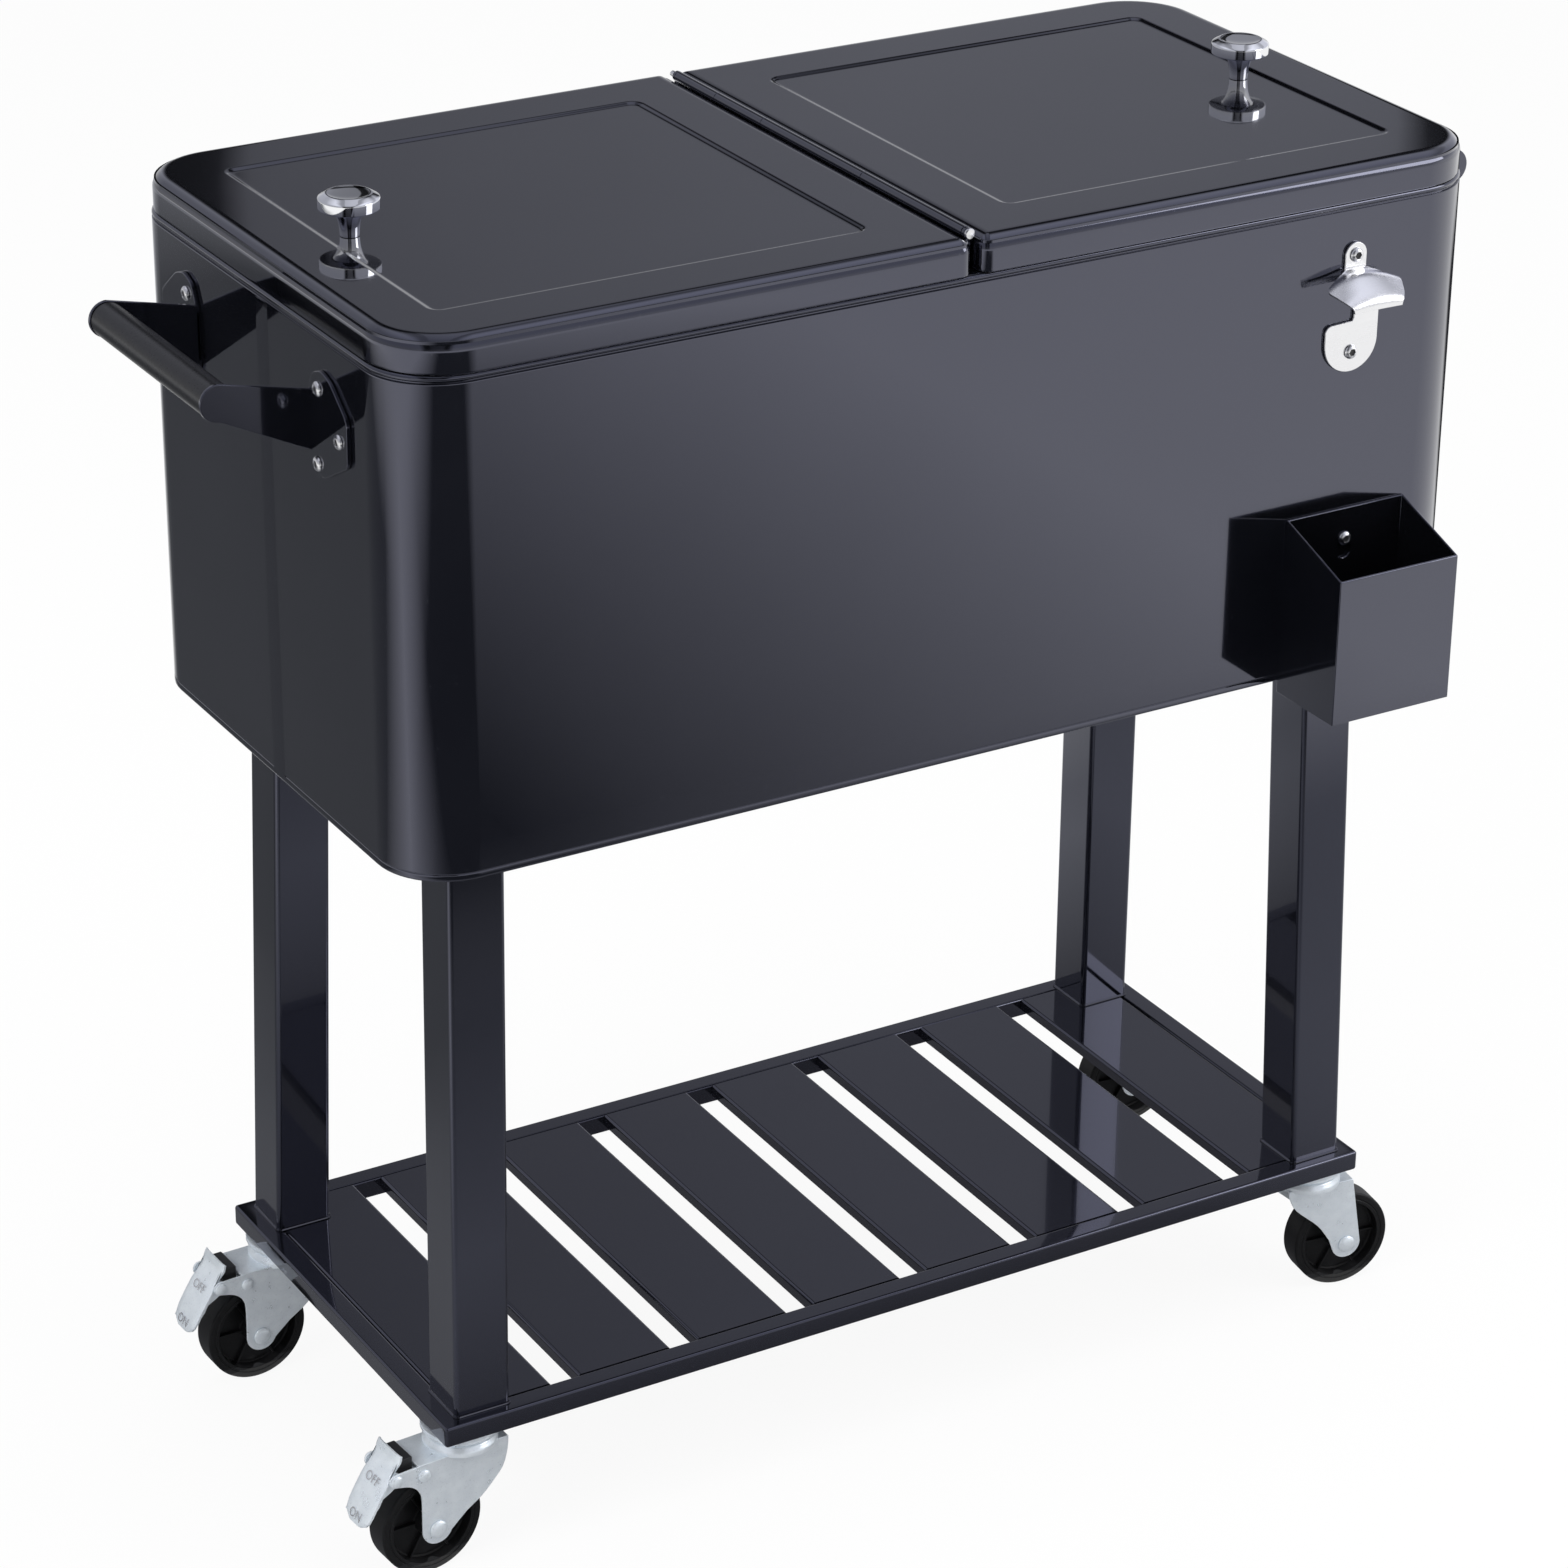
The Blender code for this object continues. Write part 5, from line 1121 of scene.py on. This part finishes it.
travel = np.concatenate([[0], np.cumsum(np.linalg.norm(np.diff(face_line, axis=0), axis=1))])
half_width = np.interp(travel / travel[-1], *zip(*HALF_WIDTHS))
along_line = unit(np.gradient(face_line, axis=0))
face_normal = np.stack([-along_line[:, 1], along_line[:, 0]], axis=-1)


def face_rings():
    """The face: across v the sheet's edges fold back by 1.2 mm in a soft curve, both sides closed."""
    spread = np.sin(np.linspace(-math.pi / 2, math.pi / 2, 21))
    fold = PEDAL_FOLD * np.abs(spread) ** 6
    rows = []
    for offset, order in ((0.0, 1), (-PEDAL_SHEET, -1)):
        u, z = (face_line[:, axis, None] + face_normal[:, axis, None] * (offset - fold[None, :])
                for axis in (0, 1))
        rows.append(np.stack([u, half_width[:, None] * spread[None, :], z], axis=-1)[:, ::order])
    return np.concatenate(rows, axis=1), False


def cheek_outline():
    """A cheek follows the face inside its sheet, then comes back to the pivot in a wavy lower edge."""
    inner_line = face_line[4:-4] - face_normal[4:-4] * CHEEK_DEPTH
    return np.array(inner_line.tolist() + CHEEK_BACK + arc(0, 0, PEDAL_EAR, 232, 100, 8))


print("pedal face length", round(float(travel[-1]) * 1000, 1), "mm")

# %% Pedals with shoes, rivets and words
SHOE_LOW, SHOE_HIGH, SHOE_EDGE = (-0.0142, -0.0112, -0.0022), (-0.0045, 0.0112, 0.0108), 0.0007
PEDAL_EDGE = 0.0003
PIN = [(NEAR_AXIS, 0.0185), (0.0016, 0.0184), (0.0030, 0.0180), (0.0039, 0.0174), (0.0042, 0.0168),
       (0.0042, 0.0164), (0.0018, 0.0164)]
SECOND_PIN = (0.0354 - PIVOT_U, 0, 0.078 - PIVOT_Z)
WORD_SIZE, WORD_HALF, WORD_LIFT = 0.0085, 0.00045, 0.0002


def raised_word(text, place):
    """A word as a mesh, raised by less than half a millimetre, moved by a matrix."""
    curve = bpy.data.curves.new(text, "FONT")
    curve.body = text
    curve.size = WORD_SIZE
    curve.extrude = WORD_HALF
    curve.align_x = curve.align_y = "CENTER"
    holder = linked(text, curve)
    seen = holder.evaluated_get(bpy.context.evaluated_depsgraph_get())
    mesh = bpy.data.meshes.new_from_object(seen)
    bpy.data.objects.remove(holder)
    mesh.transform(place)
    return mesh


def on_face(share):
    """A matrix just over the pedal's face: words read from outside, with up along the face."""
    index = int(share * (len(face_line) - 1))
    up, out = (Vector((u, 0, z)) for u, z in (-along_line[index], face_normal[index]))
    place = Matrix((up.cross(out), up, out)).transposed().to_4x4()
    place.translation = Vector((face_line[index, 0], 0, face_line[index, 1])) + out * WORD_LIFT
    return place


for corner in BRAKED:
    pivot = caster_place(corner) @ Matrix.Translation((PIVOT_U, 0, PIVOT_Z))
    cheeks = [plate(cheek_outline(), side * CHEEK_OUT, side * (CHEEK_OUT - PEDAL_SHEET), "Y", PEDAL_EDGE)
              for side in (-1, 1)]
    make_piece(f"{corner}_pedal_sheet", [face_rings()] + cheeks, "zinc_plate", f"{corner}_brake",
               f"{corner}_brake_pedal", pivot)
    make_piece(f"{corner}_brake_shoe", [block(SHOE_LOW, SHOE_HIGH, SHOE_EDGE)], "black_plastic",
               f"{corner}_brake", place=pivot)
    for number, spot in enumerate(((0, 0, 0), SECOND_PIN)):
        make_piece(f"{corner}_fork_rivet_{number + 1}", [lathe(both_ways(PIN), 32)], "zinc_plate",
                   f"{corner}_caster", place=pivot @ along(*spot, (0, 1, 0)))
    for text, share in (("OFF", 0.40), ("ON", 0.80)):
        place_piece(f"{corner}_pedal_{text.lower()}", raised_word(text, pivot @ on_face(share)),
                    "stainless_steel", f"{corner}_brake")

# %% [markdown]
# ## Drain
# Under the chest a spout comes through the floor, with a flange inside and a nut below, and a
# stopper closes it from beneath. All of it is turned.

# %% Spout and stopper
SPOUT = [(0.0200, 0.5312), (0.0194, 0.5318), (0.0108, 0.5318), (0.0100, 0.5312), (0.0100, 0.4862),
         (0.0106, 0.4855), (0.0136, 0.4855), (0.0140, 0.4860), (0.0140, 0.4962), (0.0190, 0.4964),
         (0.0190, 0.5010), (0.0140, 0.5012), (0.0140, 0.5298), (0.0200, 0.5298)]
STOPPER = [(NEAR_AXIS, 0.5035), (0.0088, 0.5035), (0.0096, 0.5026), (0.0097, 0.4852), (0.0140, 0.4852),
           (0.0149, 0.4847), (0.0150, 0.4840), (0.0150, 0.4800), (0.0146, 0.4793), (0.0138, 0.4792),
           (0.0060, 0.4792), (0.0052, 0.4800), (NEAR_AXIS, 0.4800)]
drain = Matrix.Translation((DRAIN_X, SHIFT, 0))
make_piece("drain_spout_fine", [lathe(SPOUT, 48, True)], "liner_plastic", node="drain_spout", place=drain)
make_piece("drain_stopper_fine", [lathe(STOPPER, 48)], "black_plastic", "drain_stopper", "drain_plug",
           drain)

# %% [markdown]
# ## Studio
# The photograph was taken in a white studio. The gloss paint is a mirror, so what stands around the
# cooler matters as much as the lamps. The floor is white for the camera and keeps a faint shadow.
# Large soft lamps light it from above, and grey cards, which only reflections see, give the paint
# its slow change from grey to black.

# %% Floor and world
WHITE = (1.0, 1.0, 1.0)
FLOOR_HALF, FLOOR_GLOW, WORLD_LEVEL = 14, 0.92, 0.62


def plain_shader(name, build):
    """A stage material made by build(tree), which returns a shader's signal."""
    made = bpy.data.materials.new(name)
    made.use_nodes = True
    tree = made.node_tree
    tree.nodes.remove(tree.nodes["Principled BSDF"])
    tree.links.new(build(tree).socket, tree.nodes["Material Output"].inputs["Surface"])
    return made


def stage_sheet(name, wide, high, shader):
    """A level sheet, twice as wide and long as given, with a stage material of its own."""
    mesh = bpy.data.meshes.new(name)
    corners = [(-wide, -high, 0), (wide, -high, 0), (wide, high, 0), (-wide, high, 0)]
    mesh.from_pydata(corners, [], [(0, 1, 2, 3)])
    mesh.materials.append(plain_shader(name, shader))
    return linked(name, mesh)


def seen_rays(tree):
    """1 for rays that come from the camera, or by a mirror or through glass."""
    outputs = add_node(tree, "ShaderNodeLightPath").socket.node.outputs
    camera_ray, glossy, through = (Signal(tree, outputs[key]) for key in
                                   ("Is Camera Ray", "Is Glossy Ray", "Is Transmission Ray"))
    return (camera_ray + glossy + through).clipped()


def glow(tree, colour, strength=1.0):
    """An emission shader."""
    return add_node(tree, "ShaderNodeEmission", {}, {"Color": colour, "Strength": strength})


def blended(tree, share, first, second):
    """One shader, turning into the second as the share goes from 0 to 1."""
    return add_node(tree, "ShaderNodeMixShader", {}, {0: share, 1: first, 2: second})


def floor_shader(tree):
    """Matt white that for seen rays is nearly all glow, so its shadow stays faint."""
    matt = add_node(tree, "ShaderNodeBsdfDiffuse", {}, {"Color": (0.86, 0.86, 0.86)})
    return blended(tree, seen_rays(tree) * FLOOR_GLOW, matt, glow(tree, WHITE))


stage_sheet("studio_floor", FLOOR_HALF, FLOOR_HALF, floor_shader)
world = bpy.data.worlds.new("white_studio")
bpy.context.scene.world = world
world.use_nodes = True
sky = world.node_tree
feed(sky, sky.nodes["Background"],
     {"Color": WHITE, "Strength": WORLD_LEVEL + (1.0 - WORLD_LEVEL) * seen_rays(sky)})
print("floor and world ready")

# %% [markdown]
# A card is a grey sheet that lies just over the floor. It shows in reflections and nowhere else, and
# its grey fades out towards its edges.

# %% Cards that only reflections see
def reflections_only(made):
    """Hide a stage object from all but mirror-like rays."""
    made.visible_camera = False
    made.visible_diffuse = False
    made.visible_shadow = False
    made.visible_transmission = False


def card(name, middle, wide, high, shade, soft):
    """A card that is 1 inside and falls to 0 at the rim, over the share `soft` of its size."""
    def shader(tree):
        x, y = parts_of(tree, 2)
        inside_x = (1.0 - x.size() * (1.0 / wide)).ramp(0.0, soft)
        inside_y = (1.0 - y.size() * (1.0 / high)).ramp(0.0, soft)
        clear = add_node(tree, "ShaderNodeBsdfTransparent")
        return blended(tree, inside_x * inside_y, clear, glow(tree, shade))

    made = stage_sheet(name, wide, high, shader)
    made.matrix_world = Matrix.Translation(middle)
    reflections_only(made)


card("dark_floor_card", (-0.62, -1.80, 0.018), 1.62, 1.53, (0.055, 0.058, 0.066), 0.52)
card("grey_left_card", (-1.25, 1.30, 0.016), 1.3, 1.6, (0.12, 0.125, 0.135), 0.5)
card("dark_right_card", (1.75, 1.25, 0.014), 0.8, 0.9, (0.03, 0.03, 0.035), 0.35)
card("grey_near_card", (0.25, -0.10, 0.008), 1.35, 0.98, (0.44, 0.45, 0.48), 0.28)
card("dark_under_card", (0.0, 0.03, 0.012), 0.60, 0.50, (0.12, 0.12, 0.13), 0.5)
card("grey_far_card", (2.6, 6.4, 0.010), 6.0, 5.0, (0.50, 0.51, 0.54), 0.2)
print("cards placed")

# %% [markdown]
# The lids look up at the far wall of the studio, which is grey, and just above it the room is black.
# A large dome that only reflections see stands for this room. Its brightness is worked out from the
# direction: pale at the horizon, grey at the height that the lids see, black above it and in one
# upright band at each side, pale again beyond those bands, and grey overhead.

# %% The dark room that reflections see
DOME, DOME_ROWS, DOME_COLUMNS = 9.0, 25, 64
AWAY = (0.51, 0.86)
WALL_LEVEL, OVERHEAD, BEYOND = 0.62, 0.33, 0.45


def room_shader(tree):
    """Brightness in a direction: (0.62 - 0.35 low) (1 - 0.93 high) (1 - 0.93 sides) (1 - 0.6 front) left,
    plus 0.33 overhead and 0.45 beyond the side bands; each factor runs from 0 to 1."""
    x, y, z = parts_of(tree, 3, 1.0 / DOME)
    toward = AWAY[0] * x + AWAY[1] * y
    across = AWAY[1] * x - AWAY[0] * y
    off = across.size()
    low = z.ramp(0.02, 0.36)
    high = z.ramp(0.57, 0.63) * (1.0 - z.ramp(0.68, 0.76))
    sides = ((0.0 - across).ramp(0.145, 0.153) + across.ramp(0.156, 0.164)) * (1.0 - off.ramp(0.22, 0.28))
    sides = (sides * z.ramp(0.16, 0.24)).clipped()
    front = (0.0 - toward).ramp(0.0, 0.35)
    left = (0.96 + 1.7 * across).clipped()
    level = (WALL_LEVEL - 0.35 * low) * (1.0 - 0.93 * high) * (1.0 - 0.93 * sides)
    level = level * (1.0 - 0.60 * front) * left
    level = level + OVERHEAD * z.ramp(0.74, 0.90) + BEYOND * off.ramp(0.26, 0.36)
    return glow(tree, mixed(tree, low, WHITE, (0.86, 0.88, 1.0)), level)


rise = np.linspace(0.0, math.pi / 2, DOME_ROWS)[:, None]
around = np.linspace(0, 2 * math.pi, DOME_COLUMNS, endpoint=False)[None, :]
dome_points = DOME * np.stack([np.cos(rise) * np.cos(around), np.cos(rise) * np.sin(around),
                               np.sin(rise) + 0 * around], axis=-1)
dome_mesh = bpy.data.meshes.new("dark_room")
dome_mesh.from_pydata(dome_points.reshape(-1, 3).tolist(), [], ring_faces(DOME_ROWS, DOME_COLUMNS, False))
dome_mesh.materials.append(plain_shader("room_glow", room_shader))
reflections_only(linked("dark_room", dome_mesh))
print("dome of", DOME, "m")

# %% [markdown]
# Three square lamps light the cooler. Only the right one shows in the gloss, because the others
# would put hard white squares on the lids and the left end.

# %% Lamps
def lamp(name, place, aim, size, power, mirrored):
    """A square soft lamp that looks at a point; the gloss need not mirror it."""
    data = bpy.data.lights.new(name, "AREA")
    data.shape = "SQUARE"
    data.size = size
    data.energy = power
    made = linked(name, data)
    made.location = place
    made.rotation_euler = (Vector(aim) - Vector(place)).to_track_quat("-Z", "Y").to_euler()
    made.visible_glossy = mirrored


lamp("soft_top_lamp", (0.4, -0.6, 3.6), (0, 0, 0.4), 2.6, 55, False)
lamp("soft_right_lamp", (2.8, -2.2, 2.2), (0, 0, 0.5), 1.8, 38, True)
lamp("soft_left_lamp", (-3.0, -0.9, 2.2), (0, 0, 0.3), 1.8, 54, False)
bpy.context.scene.view_settings.view_transform = "Standard"
